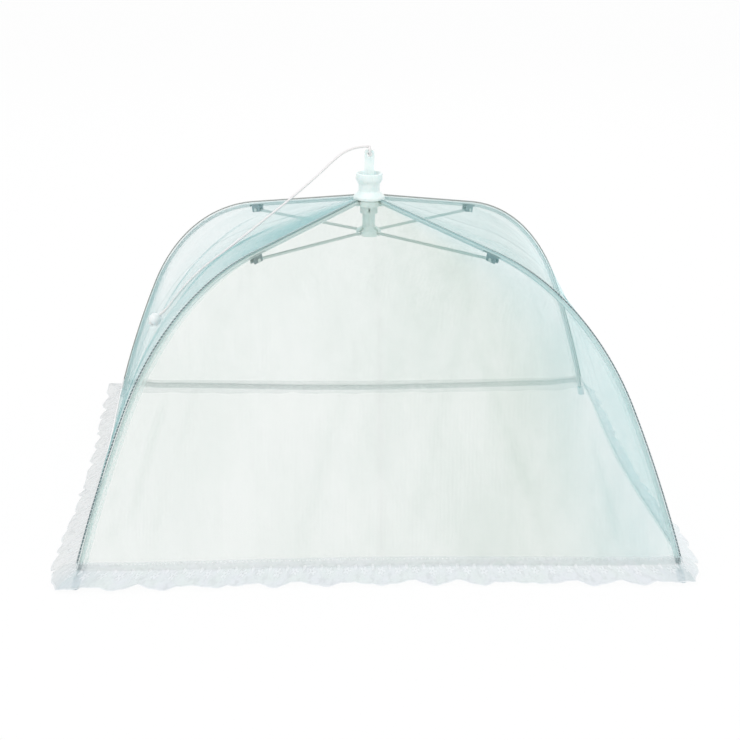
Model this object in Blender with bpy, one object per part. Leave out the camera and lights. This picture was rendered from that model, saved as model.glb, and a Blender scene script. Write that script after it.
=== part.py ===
import math

import bpy
from mathutils import Matrix, Vector

# Square folding net cover, open, standing on four feet. Metres, front towards -Y, up along +Z.

# Overall form of a rib, seen in its own upright diagonal plane
HALF_SPAN = 0.215
FOOT_R = HALF_SPAN * math.sqrt(2)
PIVOT_R = 0.0093
PIVOT_Z = 0.2318
SHOULDER_START_R = 0.127
ARM_SLOPE = math.radians(11.2)
SHOULDER_SLOPE = math.radians(61.0)
FOOT_SLOPE = math.radians(70.6)

# Shared clearances
GAP = 0.0003
PIN_GAP = 0.0003
SLOT_GAP = 0.00035

# Wires and pins
WIRE_R = 0.001
RING_WIRE_R = 0.0005
EYE_BORE_R = RING_WIRE_R + 0.00035
EYE_R = 0.00195
EYE_HALF_WIDTH = 0.00105
EYE_WIRE_START = 0.0014
WIRE_END_Z = 0.0018

# Crown hub
HUB_BORE_R = 0.0057
HUB_SLEEVE_R = 0.0069
HUB_FLANGE_R = 0.0119
HUB_SHOULDER_R = 0.0112
HUB_TOP_R = 0.0094
HUB_BOTTOM_Z = 0.2215
HUB_FLANGE_Z = 0.228
HUB_RIM_Z = 0.23
HUB_SHOULDER_Z = 0.2322
HUB_TOP_Z = 0.2345
HUB_SLOT_START_R = 0.007
HUB_SLOT_FLOOR_Z = 0.2275
HUB_SLOT_HALF = EYE_HALF_WIDTH + SLOT_GAP
RING_TUNNEL_R = RING_WIRE_R + GAP
WINDOW_HALF = 0.0006
HUB_WINDOW_LOW_Z = 0.2226
HUB_WINDOW_HIGH_Z = 0.2266

# Crown cap
CAP_BORE_R = 0.0044
CAP_SPIGOT_R = HUB_BORE_R - GAP
CAP_SPIGOT_IN_HUB = 0.0037
CAP_SPIGOT_Z = HUB_BOTTOM_Z + CAP_SPIGOT_IN_HUB
CAP_BASE_Z = HUB_TOP_Z + GAP
CAP_BASE_R = 0.0118
CAP_SKIRT_R = 0.0124
CAP_SKIRT_Z = 0.2328
CAP_SKIRT_TOP_Z = 0.2348
CAP_NECK_R = 0.0083
CAP_NECK_START_Z = 0.2392
CAP_NECK_END_Z = 0.2442
CAP_FLARE_R = 0.0092
CAP_FLARE_Z = 0.2462
CAP_LIP_R = 0.0105
CAP_LIP_LOW_Z = 0.2481
CAP_LIP_HIGH_Z = 0.2524
CAP_RIM_R = 0.0101
CAP_RIM_INNER_R = 0.0095
CAP_RIM_Z = 0.2532
CAP_CUP_R = 0.0088
CAP_CUP_Z = 0.2522
CAP_THROAT_R = 0.0052
CAP_THROAT_Z = 0.2478
CAP_THROAT_END_Z = 0.2462

# Clip that joins a stretcher to its rib, on the straight arm just before the shoulder
CLIP_FROM_SHOULDER = 0.0024
CLIP_DROP = 0.00405
CLIP_R = SHOULDER_START_R - CLIP_FROM_SHOULDER
CLIP_LENGTH = 0.0085
CLIP_HALF_WIDTH = 0.0024
CLIP_TOP = 0.0003
CLIP_CHANNEL_HALF = WIRE_R + GAP
CLIP_CHANNEL_DROP = WIRE_R + GAP
CLIP_WEB = 0.0008
CLIP_BOTTOM_DROP = 0.00575
RIVET_R = 0.0007
RIVET_HEAD_R = 0.0015
RIVET_HEAD = 0.0006
RIVET_BORE_R = RIVET_R + PIN_GAP

# Stretchers
BAR_HALF_WIDTH = 0.001
BAR_HALF_HEIGHT = 0.0009
BAR_OUTER_R = 0.0017
BAR_INNER_R = 0.0012
BAR_RISE = math.radians(0.8)
BAR_GROOVE_HALF = 0.0005
BAR_GROOVE_DEPTH = 0.001
BAR_GROOVE_MARGIN = 0.004
CROSS_PIN_R = 0.0005
CROSS_PIN_HALF = 0.0017
CLIP_SLOT_HALF = BAR_HALF_WIDTH + GAP

# Runner
RUNNER_PIVOT_R = 0.0083
RUNNER_DISC_R = 0.0099
RUNNER_DISC_HALF = 0.0025
RUNNER_BELL_R = 0.0066
RUNNER_BELL_RISE = 0.0036
RUNNER_NECK_R = 0.005
RUNNER_NECK_RISE = 0.0046
RUNNER_BOSS_R = 0.004
RUNNER_BOSS_DROP = 0.003
RUNNER_SLOT_START_R = 0.0052
RUNNER_SLOT_TOP = 0.0048
RUNNER_GROOVE_START_R = 0.0059
RUNNER_GROOVE_TOP = CROSS_PIN_R + SLOT_GAP
RUNNER_GROOVE_END_R = RUNNER_PIVOT_R + CROSS_PIN_R + SLOT_GAP
RUNNER_GROOVE_HALF = CROSS_PIN_HALF + GAP
RUNNER_NECK_IN_HUB = 0.002
RUNNER_NECK_TOP_Z = HUB_BOTTOM_Z + RUNNER_NECK_IN_HUB
RUNNER_WINDOW_START_R = 0.0043
RUNNER_WINDOW_RISE = 0.0056
RUNNER_WINDOW_TALL = 0.0048

# Pull bar and cord loop
POST_HALF_WIDTH = 0.00375
POST_HALF_DEPTH = 0.0015
POST_SOCKET_DEPTH = 0.006
POST_STAND = 0.0482
POST_TOP_Z = RUNNER_NECK_TOP_Z + POST_STAND
POST_CORNER_R = 0.0024
POST_EYE_R = 0.0019
POST_EYE_DROP = 0.004
POST_EYE_Z = POST_TOP_Z - POST_EYE_DROP
CORD_R = 0.0009
LOOP_R = 0.0032
LOOP_OVER_EYE = 0.003
LOOP_Z = POST_EYE_Z + LOOP_OVER_EYE

# Foot caps
FOOT_CAP_R = 0.0028
FOOT_CAP_BORE_R = WIRE_R + GAP
FOOT_CAP_TOP_Z = 0.008
FOOT_CAP_BORE_END_Z = 0.0013

# Layers of cloth over the ribs, counted from the middle of the wire
TAPE_LIFT = WIRE_R + GAP
TAPE_THICK = 0.0004
TAPE_FLANGE = 0.006
TAPE_START_R = 0.019
TAPE_END_Z = 0.0085
NET_LIFT = TAPE_LIFT + TAPE_THICK + GAP
NET_THICK = 0.0004
NET_TOP_R = 0.013
NET_END_Z = 0.012
NET_EDGE_GAP = 0.00025
NET_MIDDLE_GAP = 0.00015
HEM_BAND = 0.007
HEM_THICK = 0.001
HEM_STEP = 0.0005
SAG_START = 0.018
SAG_RAMP = 0.06
LACE_LIFT = NET_LIFT + HEM_THICK + GAP
LACE_THICK = 0.0004
LACE_TOP_Z = 0.023
LACE_LOBE_OUT = 0.0115
LACE_TUCK_OUT = 0.0085
LACE_LOBE_Z = 0.0017
LACE_TUCK_Z = 0.0056
LACE_MITRE_GAP = 0.00025
LACE_CORNER_SHARE = 0.78
LACE_ROUND_SHARE = 0.09

# Pull cord, lying in one upright plane through the middle, and its bead. The shares give the knots of its
# free stretch: how far out towards the place where it touches the net, and how high above that place.
CORD_BEARING = math.radians(23.5)
CORD_START_R = CORD_R + GAP
CORD_FREE_SHARES = (
    (0.0957, 0.9945),
    (0.1930, 0.9359),
    (0.3066, 0.7940),
    (0.4444, 0.6221),
    (0.5904, 0.4502),
    (0.7364, 0.2879),
    (0.8743, 0.1364),
)
CORD_REST_GAP = 0.0007
CORD_TOUCH_R = 0.1245
CORD_LEAVE_R = 0.1675
CORD_STEP = 0.004
BEAD_FOOT_R = 0.1788
BEAD_R = 0.0047
BEAD_BORE_R = CORD_R + GAP
BEAD_HALF_LENGTH = 0.0043
CORD_END_INSET = 0.0006

SAG_SHARE = 0.013
NET_ARM_RADII_SHARES = (0.2, 0.4, 0.66, 1.0)
NET_COLUMN_SHARES = (0.0, 0.12, 0.4, 0.7, 1.0)
LACE_ROW_SHARES = (0.0, 0.5, 1.0)
LACE_FLARE_POWER = 1.25

# Facet counts
ROUND_STEPS = 40
WIRE_STEPS = 8
PIN_STEPS = 12
EYE_STEPS = 20
RING_STEPS = 8
SHOULDER_STEPS = 10
LEG_STEPS = 6
CORNER_STEPS = 5
LOBES = 6
LOBE_STEPS = 5
BISECTIONS = 50
BEAD_STEPS = 20
BEAD_RINGS = 10
CORD_STEPS = 8
CORD_SURFACE_KNOTS = 5
CORD_KNOT_STEPS = 4

EIGHTH_TURN = Matrix.Rotation(math.pi / 4, 4, "Z")

CORNERS = {
    "front_left": (-1, -1),
    "front_right": (1, -1),
    "back_left": (-1, 1),
    "back_right": (1, 1),
}

# Each half gore: its corner, and whether its rows run along X
LEAVES = {
    "front_left": ("front_left", True),
    "front_right": ("front_right", True),
    "right_front": ("front_right", False),
    "right_back": ("back_right", False),
    "back_right": ("back_right", True),
    "back_left": ("back_left", True),
    "left_back": ("back_left", False),
    "left_front": ("front_left", False),
}

# Colour, metallic, roughness and transmission of each kind of piece
LOOKS = {
    "white_plastic": ((0.86, 0.92, 0.93), 0.0, 0.28, 0.15),
    "dark_wire": ((0.10, 0.11, 0.12), 0.6, 0.42, 0.0),
    "grey_steel": ((0.42, 0.43, 0.44), 1.0, 0.35, 0.0),
    "dark_clip": ((0.16, 0.17, 0.18), 0.7, 0.45, 0.0),
    "foot_plastic": ((0.72, 0.80, 0.82), 0.0, 0.4, 0.0),
    "aqua_net": ((0.62, 0.80, 0.82), 0.0, 0.7, 0.35),
    "blue_tape": ((0.45, 0.60, 0.68), 0.0, 0.75, 0.0),
    "white_lace": ((0.86, 0.88, 0.90), 0.0, 0.85, 0.1),
    "grey_cord": ((0.58, 0.60, 0.62), 0.0, 0.8, 0.0),
    "white_bead": ((0.90, 0.91, 0.91), 0.0, 0.3, 0.0),
}


def clear_scene():
    for item in list(bpy.data.objects):
        bpy.data.objects.remove(item, do_unlink=True)


def paint(item, look):
    colour, metallic, roughness, transmission = LOOKS[look]
    material = bpy.data.materials.new(item.name + "_material")
    material.use_nodes = True
    shader = material.node_tree.nodes["Principled BSDF"]
    shader.inputs["Base Color"].default_value = (*colour, 1.0)
    shader.inputs["Metallic"].default_value = metallic
    shader.inputs["Roughness"].default_value = roughness
    shader.inputs["Transmission Weight"].default_value = transmission
    material.diffuse_color = (*colour, 1.0)
    item.data.materials.clear()
    item.data.materials.append(material)


def solid(name, points, faces, place=None):
    mesh = bpy.data.meshes.new(name)
    mesh.from_pydata([tuple(p) for p in points], [], faces)
    mesh.validate()
    mesh.update()
    item = bpy.data.objects.new(name, mesh)
    bpy.context.scene.collection.objects.link(item)
    if place is not None:
        item.matrix_world = place
    return item


def settle(item):
    bpy.context.view_layer.update()
    graph = bpy.context.evaluated_depsgraph_get()
    mesh = bpy.data.meshes.new_from_object(item.evaluated_get(graph))
    old = item.data
    item.modifiers.clear()
    item.data = mesh
    bpy.data.meshes.remove(old)


def carve(item, tool, operation="DIFFERENCE"):
    step = item.modifiers.new("carve", "BOOLEAN")
    step.operation = operation
    step.solver = "EXACT"
    step.object = tool
    settle(item)
    bpy.data.objects.remove(tool, do_unlink=True)


def grid_faces(rows, columns):
    faces = []
    for i in range(rows - 1):
        for j in range(columns - 1):
            a = i * columns + j
            b = a + columns
            faces.append((a, b, b + 1, a + 1))
    return faces


def revolve(name, profile, steps=ROUND_STEPS):
    # The outline is closed and runs anticlockwise in (radius, height).
    points = []
    count = len(profile)
    for i in range(steps):
        turn = 2 * math.pi * i / steps
        for radius, height in profile:
            points.append((radius * math.cos(turn), radius * math.sin(turn), height))
    faces = []
    for i in range(steps):
        for j in range(count):
            a = i * count + j
            b = ((i + 1) % steps) * count + j
            c = ((i + 1) % steps) * count + (j + 1) % count
            d = i * count + (j + 1) % count
            faces.append((a, b, c, d))
    return solid(name, points, faces)


def revolve_on_axis(name, profile, steps):
    # The outline starts and ends on the axis and rises in height.
    middle = profile[1:-1]
    points = []
    for i in range(steps):
        turn = 2 * math.pi * i / steps
        for radius, height in middle:
            points.append((radius * math.cos(turn), radius * math.sin(turn), height))
    faces = []
    count = len(middle)
    for i in range(steps):
        following = (i + 1) % steps
        for j in range(count - 1):
            a = i * count + j
            b = following * count + j
            faces.append((a, b, b + 1, a + 1))
    bottom = len(points)
    points.append((0, 0, profile[0][1]))
    points.append((0, 0, profile[-1][1]))
    for i in range(steps):
        following = (i + 1) % steps
        faces.append((bottom, following * count, i * count))
        faces.append((bottom + 1, i * count + count - 1, following * count + count - 1))
    return solid(name, points, faces)


def torus(name, major, minor, steps, ring_steps):
    profile = []
    for i in range(ring_steps):
        turn = 2 * math.pi * i / ring_steps
        profile.append((major + minor * math.cos(turn), minor * math.sin(turn)))
    return revolve(name, profile, steps)


def prism(name, outline, half_depth):
    # The outline is anticlockwise in (x, z), and the depth runs along y.
    count = len(outline)
    points = [(x, -half_depth, z) for x, z in outline]
    points += [(x, half_depth, z) for x, z in outline]
    faces = [tuple(range(count)), tuple(range(2 * count - 1, count - 1, -1))]
    for i in range(count):
        j = (i + 1) % count
        faces.append((j, i, i + count, j + count))
    return solid(name, points, faces)


def box(name, low, high, place=None):
    outline = [(low[0], low[2]), (high[0], low[2]), (high[0], high[2]), (low[0], high[2])]
    item = prism(name, outline, (high[1] - low[1]) / 2)
    middle = (high[1] + low[1]) / 2
    item.data.transform(Matrix.Translation((0, middle, 0)))
    if place is not None:
        item.data.transform(place)
    return item


def circle(centre_x, centre_z, radius, steps):
    points = []
    for i in range(steps):
        turn = 2 * math.pi * i / steps
        points.append((centre_x + radius * math.cos(turn), centre_z + radius * math.sin(turn)))
    return points


def cylinder_across(name, centre_x, centre_z, radius, half_depth, steps=PIN_STEPS):
    return prism(name, circle(centre_x, centre_z, radius, steps), half_depth)


def corner_turn(corner):
    side_x, side_y = CORNERS[corner]
    return Matrix.Rotation(math.atan2(side_y, side_x), 4, "Z")


def place_on(item, turn, pivot_r, pivot_z):
    # Mesh built in the diagonal plane: origin moved to the joint, then the whole turned to its corner
    item.data.transform(Matrix.Translation((-pivot_r, 0, -pivot_z)))
    item.matrix_world = turn @ Matrix.Translation((pivot_r, 0, pivot_z))


# Lengths along a rib: straight arm, shoulder arc, leg arc
def solve_arcs():
    start_z = PIVOT_Z - math.tan(ARM_SLOPE) * (SHOULDER_START_R - PIVOT_R)
    a = math.sin(SHOULDER_SLOPE) - math.sin(ARM_SLOPE)
    b = math.sin(FOOT_SLOPE) - math.sin(SHOULDER_SLOPE)
    c = math.cos(ARM_SLOPE) - math.cos(SHOULDER_SLOPE)
    d = math.cos(SHOULDER_SLOPE) - math.cos(FOOT_SLOPE)
    across = FOOT_R - SHOULDER_START_R
    scale = a * d - b * c
    shoulder = (across * d - b * start_z) / scale
    leg = (a * start_z - across * c) / scale
    return start_z, shoulder, leg


SHOULDER_START_Z, SHOULDER_R, LEG_R = solve_arcs()
ARM_LENGTH = (SHOULDER_START_R - PIVOT_R) / math.cos(ARM_SLOPE)
SHOULDER_LENGTH = SHOULDER_R * (SHOULDER_SLOPE - ARM_SLOPE)
LEG_LENGTH = LEG_R * (FOOT_SLOPE - SHOULDER_SLOPE)
RIB_LENGTH = ARM_LENGTH + SHOULDER_LENGTH + LEG_LENGTH


def arc_point(start_r, start_z, start_slope, radius, slope):
    r = start_r + radius * (math.sin(slope) - math.sin(start_slope))
    z = start_z - radius * (math.cos(start_slope) - math.cos(slope))
    return r, z, slope


def rib_point(length):
    # Radius, height and downward slope at a length from the crown pivot
    if length <= ARM_LENGTH:
        r = PIVOT_R + length * math.cos(ARM_SLOPE)
        z = PIVOT_Z - length * math.sin(ARM_SLOPE)
        return r, z, ARM_SLOPE
    length -= ARM_LENGTH
    if length <= SHOULDER_LENGTH:
        slope = ARM_SLOPE + length / SHOULDER_R
        return arc_point(SHOULDER_START_R, SHOULDER_START_Z, ARM_SLOPE, SHOULDER_R, slope)
    r, z, slope = arc_point(SHOULDER_START_R, SHOULDER_START_Z, ARM_SLOPE, SHOULDER_R, SHOULDER_SLOPE)
    length -= SHOULDER_LENGTH
    return arc_point(r, z, slope, LEG_R, slope + length / LEG_R)


def find_length(test):
    # Last length at which the test still holds
    low, high = 0.0, RIB_LENGTH
    for _ in range(BISECTIONS):
        middle = (low + high) / 2
        if test(middle):
            low = middle
        else:
            high = middle
    return low


def length_at_radius(radius):
    return find_length(lambda length: rib_point(length)[0] < radius)


def length_at_height(height):
    return find_length(lambda length: rib_point(length)[1] > height)


def lengths_between(first, last):
    # The bends of the rib, at the same places for wire, tape and net, so that layers keep their gaps
    marks = [length_at_radius(SHOULDER_START_R * s) for s in NET_ARM_RADII_SHARES]
    marks += [ARM_LENGTH + SHOULDER_LENGTH * (i + 1) / SHOULDER_STEPS for i in range(SHOULDER_STEPS)]
    start = ARM_LENGTH + SHOULDER_LENGTH
    marks += [start + LEG_LENGTH * (i + 1) / LEG_STEPS for i in range(LEG_STEPS)]
    spacing = SHOULDER_LENGTH / SHOULDER_STEPS / 3
    inner = [m for m in marks if first + spacing < m < last - spacing]
    return [first] + inner + [last]


def tube(name, stations, radius, steps):
    # A round tube through stations of (radius, height, downward slope)
    points = []
    for r, z, slope in stations:
        for i in range(steps):
            turn = 2 * math.pi * (i + 0.5) / steps
            lift = radius * math.cos(turn)
            points.append((r + lift * math.sin(slope), radius * math.sin(turn), z + lift * math.cos(slope)))
    faces = []
    for k in range(len(stations) - 1):
        for i in range(steps):
            j = (i + 1) % steps
            a, b = k * steps + i, k * steps + j
            faces.append((a, a + steps, b + steps, b))
    faces.append(tuple(range(steps)))
    last = (len(stations) - 1) * steps
    faces.append(tuple(range(last + steps - 1, last - 1, -1)))
    return solid(name, points, faces)


# Linkage: the clip pivot under the arm, and the stretcher from there to the runner
CLIP_PIVOT_R = CLIP_R - CLIP_DROP * math.sin(ARM_SLOPE)
CLIP_WIRE_Z = PIVOT_Z - math.tan(ARM_SLOPE) * (CLIP_R - PIVOT_R)
CLIP_PIVOT_Z = CLIP_WIRE_Z - CLIP_DROP * math.cos(ARM_SLOPE)
BAR_LENGTH = (CLIP_PIVOT_R - RUNNER_PIVOT_R) / math.cos(BAR_RISE)
RUNNER_Z = CLIP_PIVOT_Z + BAR_LENGTH * math.sin(BAR_RISE)


def make_crown():
    hub = revolve("crown_hub", [
        (HUB_BORE_R, HUB_BOTTOM_Z),
        (HUB_SLEEVE_R, HUB_BOTTOM_Z),
        (HUB_SLEEVE_R, HUB_FLANGE_Z),
        (HUB_FLANGE_R, HUB_FLANGE_Z),
        (HUB_FLANGE_R, HUB_RIM_Z),
        (HUB_SHOULDER_R, HUB_SHOULDER_Z),
        (HUB_TOP_R, HUB_TOP_Z),
        (HUB_BORE_R, HUB_TOP_Z),
    ])
    tunnel = torus("tunnel", PIVOT_R, RING_TUNNEL_R, ROUND_STEPS, RING_STEPS)
    tunnel.data.transform(Matrix.Translation((0, 0, PIVOT_Z)))
    carve(hub, tunnel)
    for corner in CORNERS:
        low = (HUB_SLOT_START_R, -HUB_SLOT_HALF, HUB_SLOT_FLOOR_Z)
        high = (2 * HUB_FLANGE_R, HUB_SLOT_HALF, 2 * HUB_TOP_Z)
        carve(hub, box("slot", low, high, corner_turn(corner)))
        low = (0, -WINDOW_HALF, HUB_WINDOW_LOW_Z)
        high = (2 * HUB_SLEEVE_R, WINDOW_HALF, HUB_WINDOW_HIGH_Z)
        carve(hub, box("window", low, high, corner_turn(corner) @ EIGHTH_TURN))
    paint(hub, "white_plastic")

    ring = torus("crown_ring", PIVOT_R, RING_WIRE_R, ROUND_STEPS, RING_STEPS)
    ring.location = (0, 0, PIVOT_Z)
    paint(ring, "grey_steel")

    cap = revolve("crown_cap", [
        (CAP_BORE_R, CAP_SPIGOT_Z),
        (CAP_SPIGOT_R, CAP_SPIGOT_Z),
        (CAP_SPIGOT_R, CAP_BASE_Z),
        (CAP_BASE_R, CAP_BASE_Z),
        (CAP_BASE_R, CAP_SKIRT_Z),
        (CAP_SKIRT_R, CAP_SKIRT_Z),
        (CAP_SKIRT_R, CAP_SKIRT_TOP_Z),
        (CAP_NECK_R, CAP_NECK_START_Z),
        (CAP_NECK_R, CAP_NECK_END_Z),
        (CAP_FLARE_R, CAP_FLARE_Z),
        (CAP_LIP_R, CAP_LIP_LOW_Z),
        (CAP_LIP_R, CAP_LIP_HIGH_Z),
        (CAP_RIM_R, CAP_RIM_Z),
        (CAP_RIM_INNER_R, CAP_RIM_Z),
        (CAP_CUP_R, CAP_CUP_Z),
        (CAP_THROAT_R, CAP_THROAT_Z),
        (CAP_BORE_R, CAP_THROAT_END_Z),
    ])
    paint(cap, "white_plastic")


def make_runner():
    disc_low = RUNNER_Z - RUNNER_DISC_HALF
    runner = revolve_on_axis("runner", [
        (0, RUNNER_Z - RUNNER_BOSS_DROP),
        (RUNNER_BOSS_R, RUNNER_Z - RUNNER_BOSS_DROP),
        (RUNNER_BOSS_R, disc_low),
        (RUNNER_DISC_R, disc_low),
        (RUNNER_DISC_R, RUNNER_Z + RUNNER_DISC_HALF / 2),
        (RUNNER_BELL_R, RUNNER_Z + RUNNER_BELL_RISE),
        (RUNNER_NECK_R, RUNNER_Z + RUNNER_NECK_RISE),
        (RUNNER_NECK_R, RUNNER_NECK_TOP_Z),
        (0, RUNNER_NECK_TOP_Z),
    ], ROUND_STEPS)
    for corner in CORNERS:
        turn = corner_turn(corner)
        below = RUNNER_Z - 2 * RUNNER_DISC_HALF
        low = (RUNNER_SLOT_START_R, -CLIP_SLOT_HALF, below)
        high = (2 * RUNNER_DISC_R, CLIP_SLOT_HALF, RUNNER_Z + RUNNER_SLOT_TOP)
        carve(runner, box("slot", low, high, turn))
        low = (RUNNER_GROOVE_START_R, -RUNNER_GROOVE_HALF, below)
        high = (RUNNER_GROOVE_END_R, RUNNER_GROOVE_HALF, RUNNER_Z + RUNNER_GROOVE_TOP)
        carve(runner, box("groove", low, high, turn))
        window_z = RUNNER_Z + RUNNER_WINDOW_RISE
        low = (RUNNER_WINDOW_START_R, -WINDOW_HALF, window_z)
        high = (2 * RUNNER_DISC_R, WINDOW_HALF, window_z + RUNNER_WINDOW_TALL)
        carve(runner, box("window", low, high, turn @ EIGHTH_TURN))
    socket_floor = RUNNER_NECK_TOP_Z - POST_SOCKET_DEPTH
    half_x = POST_HALF_WIDTH + GAP
    half_y = POST_HALF_DEPTH + GAP
    carve(runner, box("socket", (-half_x, -half_y, socket_floor), (half_x, half_y, 2 * RUNNER_NECK_TOP_Z)))
    paint(runner, "white_plastic")

    outline = [(-POST_HALF_WIDTH, socket_floor + GAP), (POST_HALF_WIDTH, socket_floor + GAP)]
    for side in (1, -1):
        for i in range(CORNER_STEPS + 1):
            share = i / CORNER_STEPS if side > 0 else 1 - i / CORNER_STEPS
            turn = share * math.pi / 2
            x = POST_HALF_WIDTH - POST_CORNER_R + POST_CORNER_R * math.cos(turn)
            z = POST_TOP_Z - POST_CORNER_R + POST_CORNER_R * math.sin(turn)
            outline.append((side * x, z))
    post = prism("post", outline, POST_HALF_DEPTH)
    carve(post, cylinder_across("eye", 0, POST_EYE_Z, POST_EYE_R, 2 * POST_HALF_DEPTH, EYE_STEPS))
    paint(post, "white_plastic")

    loop = torus("cord_loop", LOOP_R, CORD_R, EYE_STEPS, RING_STEPS)
    loop.data.transform(Matrix.Rotation(math.pi / 2, 4, "Y"))
    loop.location = (0, 0, LOOP_Z)
    paint(loop, "grey_cord")


def make_rib(corner):
    turn = corner_turn(corner)
    wire_end = length_at_height(WIRE_END_Z)
    stations = [rib_point(length) for length in lengths_between(EYE_WIRE_START, wire_end)]
    rib = tube("rib_" + corner, stations, WIRE_R, WIRE_STEPS)
    eye = cylinder_across("eye", PIVOT_R, PIVOT_Z, EYE_R, EYE_HALF_WIDTH, EYE_STEPS)
    carve(rib, eye, "UNION")
    carve(rib, cylinder_across("bore", PIVOT_R, PIVOT_Z, EYE_BORE_R, 2 * EYE_HALF_WIDTH, EYE_STEPS))
    place_on(rib, turn, PIVOT_R, PIVOT_Z)
    paint(rib, "dark_wire")

    # Foot cap: a tube on the wire's end, cut level at the table
    r, z, slope = rib_point(length_at_height(FOOT_CAP_TOP_Z))
    down = Vector((math.cos(slope), 0, -math.sin(slope)))
    aim = Matrix.Translation((r, 0, z)) @ down.to_track_quat("Z", "Y").to_matrix().to_4x4()
    cap = revolve_on_axis("foot_cap_" + corner, [
        (0, 0),
        (FOOT_CAP_R, 0),
        (FOOT_CAP_R, 2 * FOOT_CAP_TOP_Z),
        (0, 2 * FOOT_CAP_TOP_Z),
    ], PIN_STEPS)
    cap.data.transform(aim)
    depth = (z - FOOT_CAP_BORE_END_Z) / math.sin(slope)
    bore = revolve_on_axis("bore", [
        (0, -FOOT_CAP_TOP_Z),
        (FOOT_CAP_BORE_R, -FOOT_CAP_TOP_Z),
        (FOOT_CAP_BORE_R, depth),
        (0, depth),
    ], PIN_STEPS)
    bore.data.transform(aim)
    carve(cap, bore)
    reach = 4 * FOOT_CAP_TOP_Z
    carve(cap, box("table", (r - reach, -reach, -reach), (r + reach, reach, 0)))
    place_on(cap, turn, PIVOT_R, PIVOT_Z)
    paint(cap, "foot_plastic")

    # Clip: H section in the arm's own line
    tilt = Matrix.Translation((CLIP_R, 0, CLIP_WIRE_Z)) @ Matrix.Rotation(ARM_SLOPE, 4, "Y")
    half = CLIP_LENGTH / 2
    clip = box("rib_clip_" + corner, (-half, -CLIP_HALF_WIDTH, -CLIP_BOTTOM_DROP),
               (half, CLIP_HALF_WIDTH, CLIP_TOP), tilt)
    channel_low = (-CLIP_LENGTH, -CLIP_CHANNEL_HALF, -CLIP_CHANNEL_DROP)
    carve(clip, box("channel", channel_low, (CLIP_LENGTH, CLIP_CHANNEL_HALF, CLIP_LENGTH), tilt))
    slot_high = (CLIP_LENGTH, CLIP_SLOT_HALF, -CLIP_CHANNEL_DROP - CLIP_WEB)
    carve(clip, box("slot", (-CLIP_LENGTH, -CLIP_SLOT_HALF, -CLIP_LENGTH), slot_high, tilt))
    carve(clip, cylinder_across("bore", CLIP_PIVOT_R, CLIP_PIVOT_Z, RIVET_BORE_R, CLIP_LENGTH))
    place_on(clip, turn, PIVOT_R, PIVOT_Z)
    paint(clip, "dark_clip")

    head_start = CLIP_HALF_WIDTH + GAP
    rivet = revolve_on_axis("clip_rivet_" + corner, [
        (0, -head_start - RIVET_HEAD),
        (RIVET_HEAD_R, -head_start - RIVET_HEAD),
        (RIVET_HEAD_R, -head_start),
        (RIVET_R, -head_start),
        (RIVET_R, head_start),
        (RIVET_HEAD_R, head_start),
        (RIVET_HEAD_R, head_start + RIVET_HEAD),
        (0, head_start + RIVET_HEAD),
    ], PIN_STEPS)
    lie = Matrix.Translation((CLIP_PIVOT_R, 0, CLIP_PIVOT_Z)) @ Matrix.Rotation(math.pi / 2, 4, "X")
    rivet.data.transform(lie)
    place_on(rivet, turn, CLIP_PIVOT_R, CLIP_PIVOT_Z)
    paint(rivet, "grey_steel")


def make_stretcher(corner):
    # Seen from the side: a slim bar between two eyes, from the clip pivot in to the runner pivot
    outline = []
    for middle, radius, start in ((BAR_LENGTH, BAR_OUTER_R, -math.pi), (0, BAR_INNER_R, 0)):
        lean = math.asin(BAR_HALF_HEIGHT / radius)
        for i in range(PIN_STEPS + 1):
            turn = start + lean + (2 * math.pi - 2 * lean) * i / PIN_STEPS
            outline.append((middle + radius * math.cos(turn), radius * math.sin(turn)))
    bar = prism("stretcher_" + corner, outline, BAR_HALF_WIDTH)
    low = (BAR_GROOVE_MARGIN, -BAR_GROOVE_HALF, BAR_HALF_HEIGHT - BAR_GROOVE_DEPTH)
    high = (BAR_LENGTH - BAR_GROOVE_MARGIN, BAR_GROOVE_HALF, 2 * BAR_OUTER_R)
    carve(bar, box("groove", low, high))
    carve(bar, cylinder_across("bore", BAR_LENGTH, 0, RIVET_BORE_R, 2 * BAR_HALF_WIDTH))
    carve(bar, cylinder_across("pin", 0, 0, CROSS_PIN_R, CROSS_PIN_HALF), "UNION")
    tilt = Matrix.Translation((RUNNER_PIVOT_R, 0, RUNNER_Z)) @ Matrix.Rotation(BAR_RISE, 4, "Y")
    bar.data.transform(tilt)
    place_on(bar, corner_turn(corner), CLIP_PIVOT_R, CLIP_PIVOT_Z)
    paint(bar, "grey_steel")


def crease_point(corner, length, lift):
    # Where the two layers meet over a rib, at a height above the wire
    side_x, side_y = CORNERS[corner]
    r, z, slope = rib_point(length)
    steep = math.sqrt(2) * math.tan(slope)
    size = math.sqrt(1 + steep * steep)
    across = r / math.sqrt(2) + lift * steep / size
    return Vector((side_x * across, side_y * across, z + lift / size))


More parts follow.
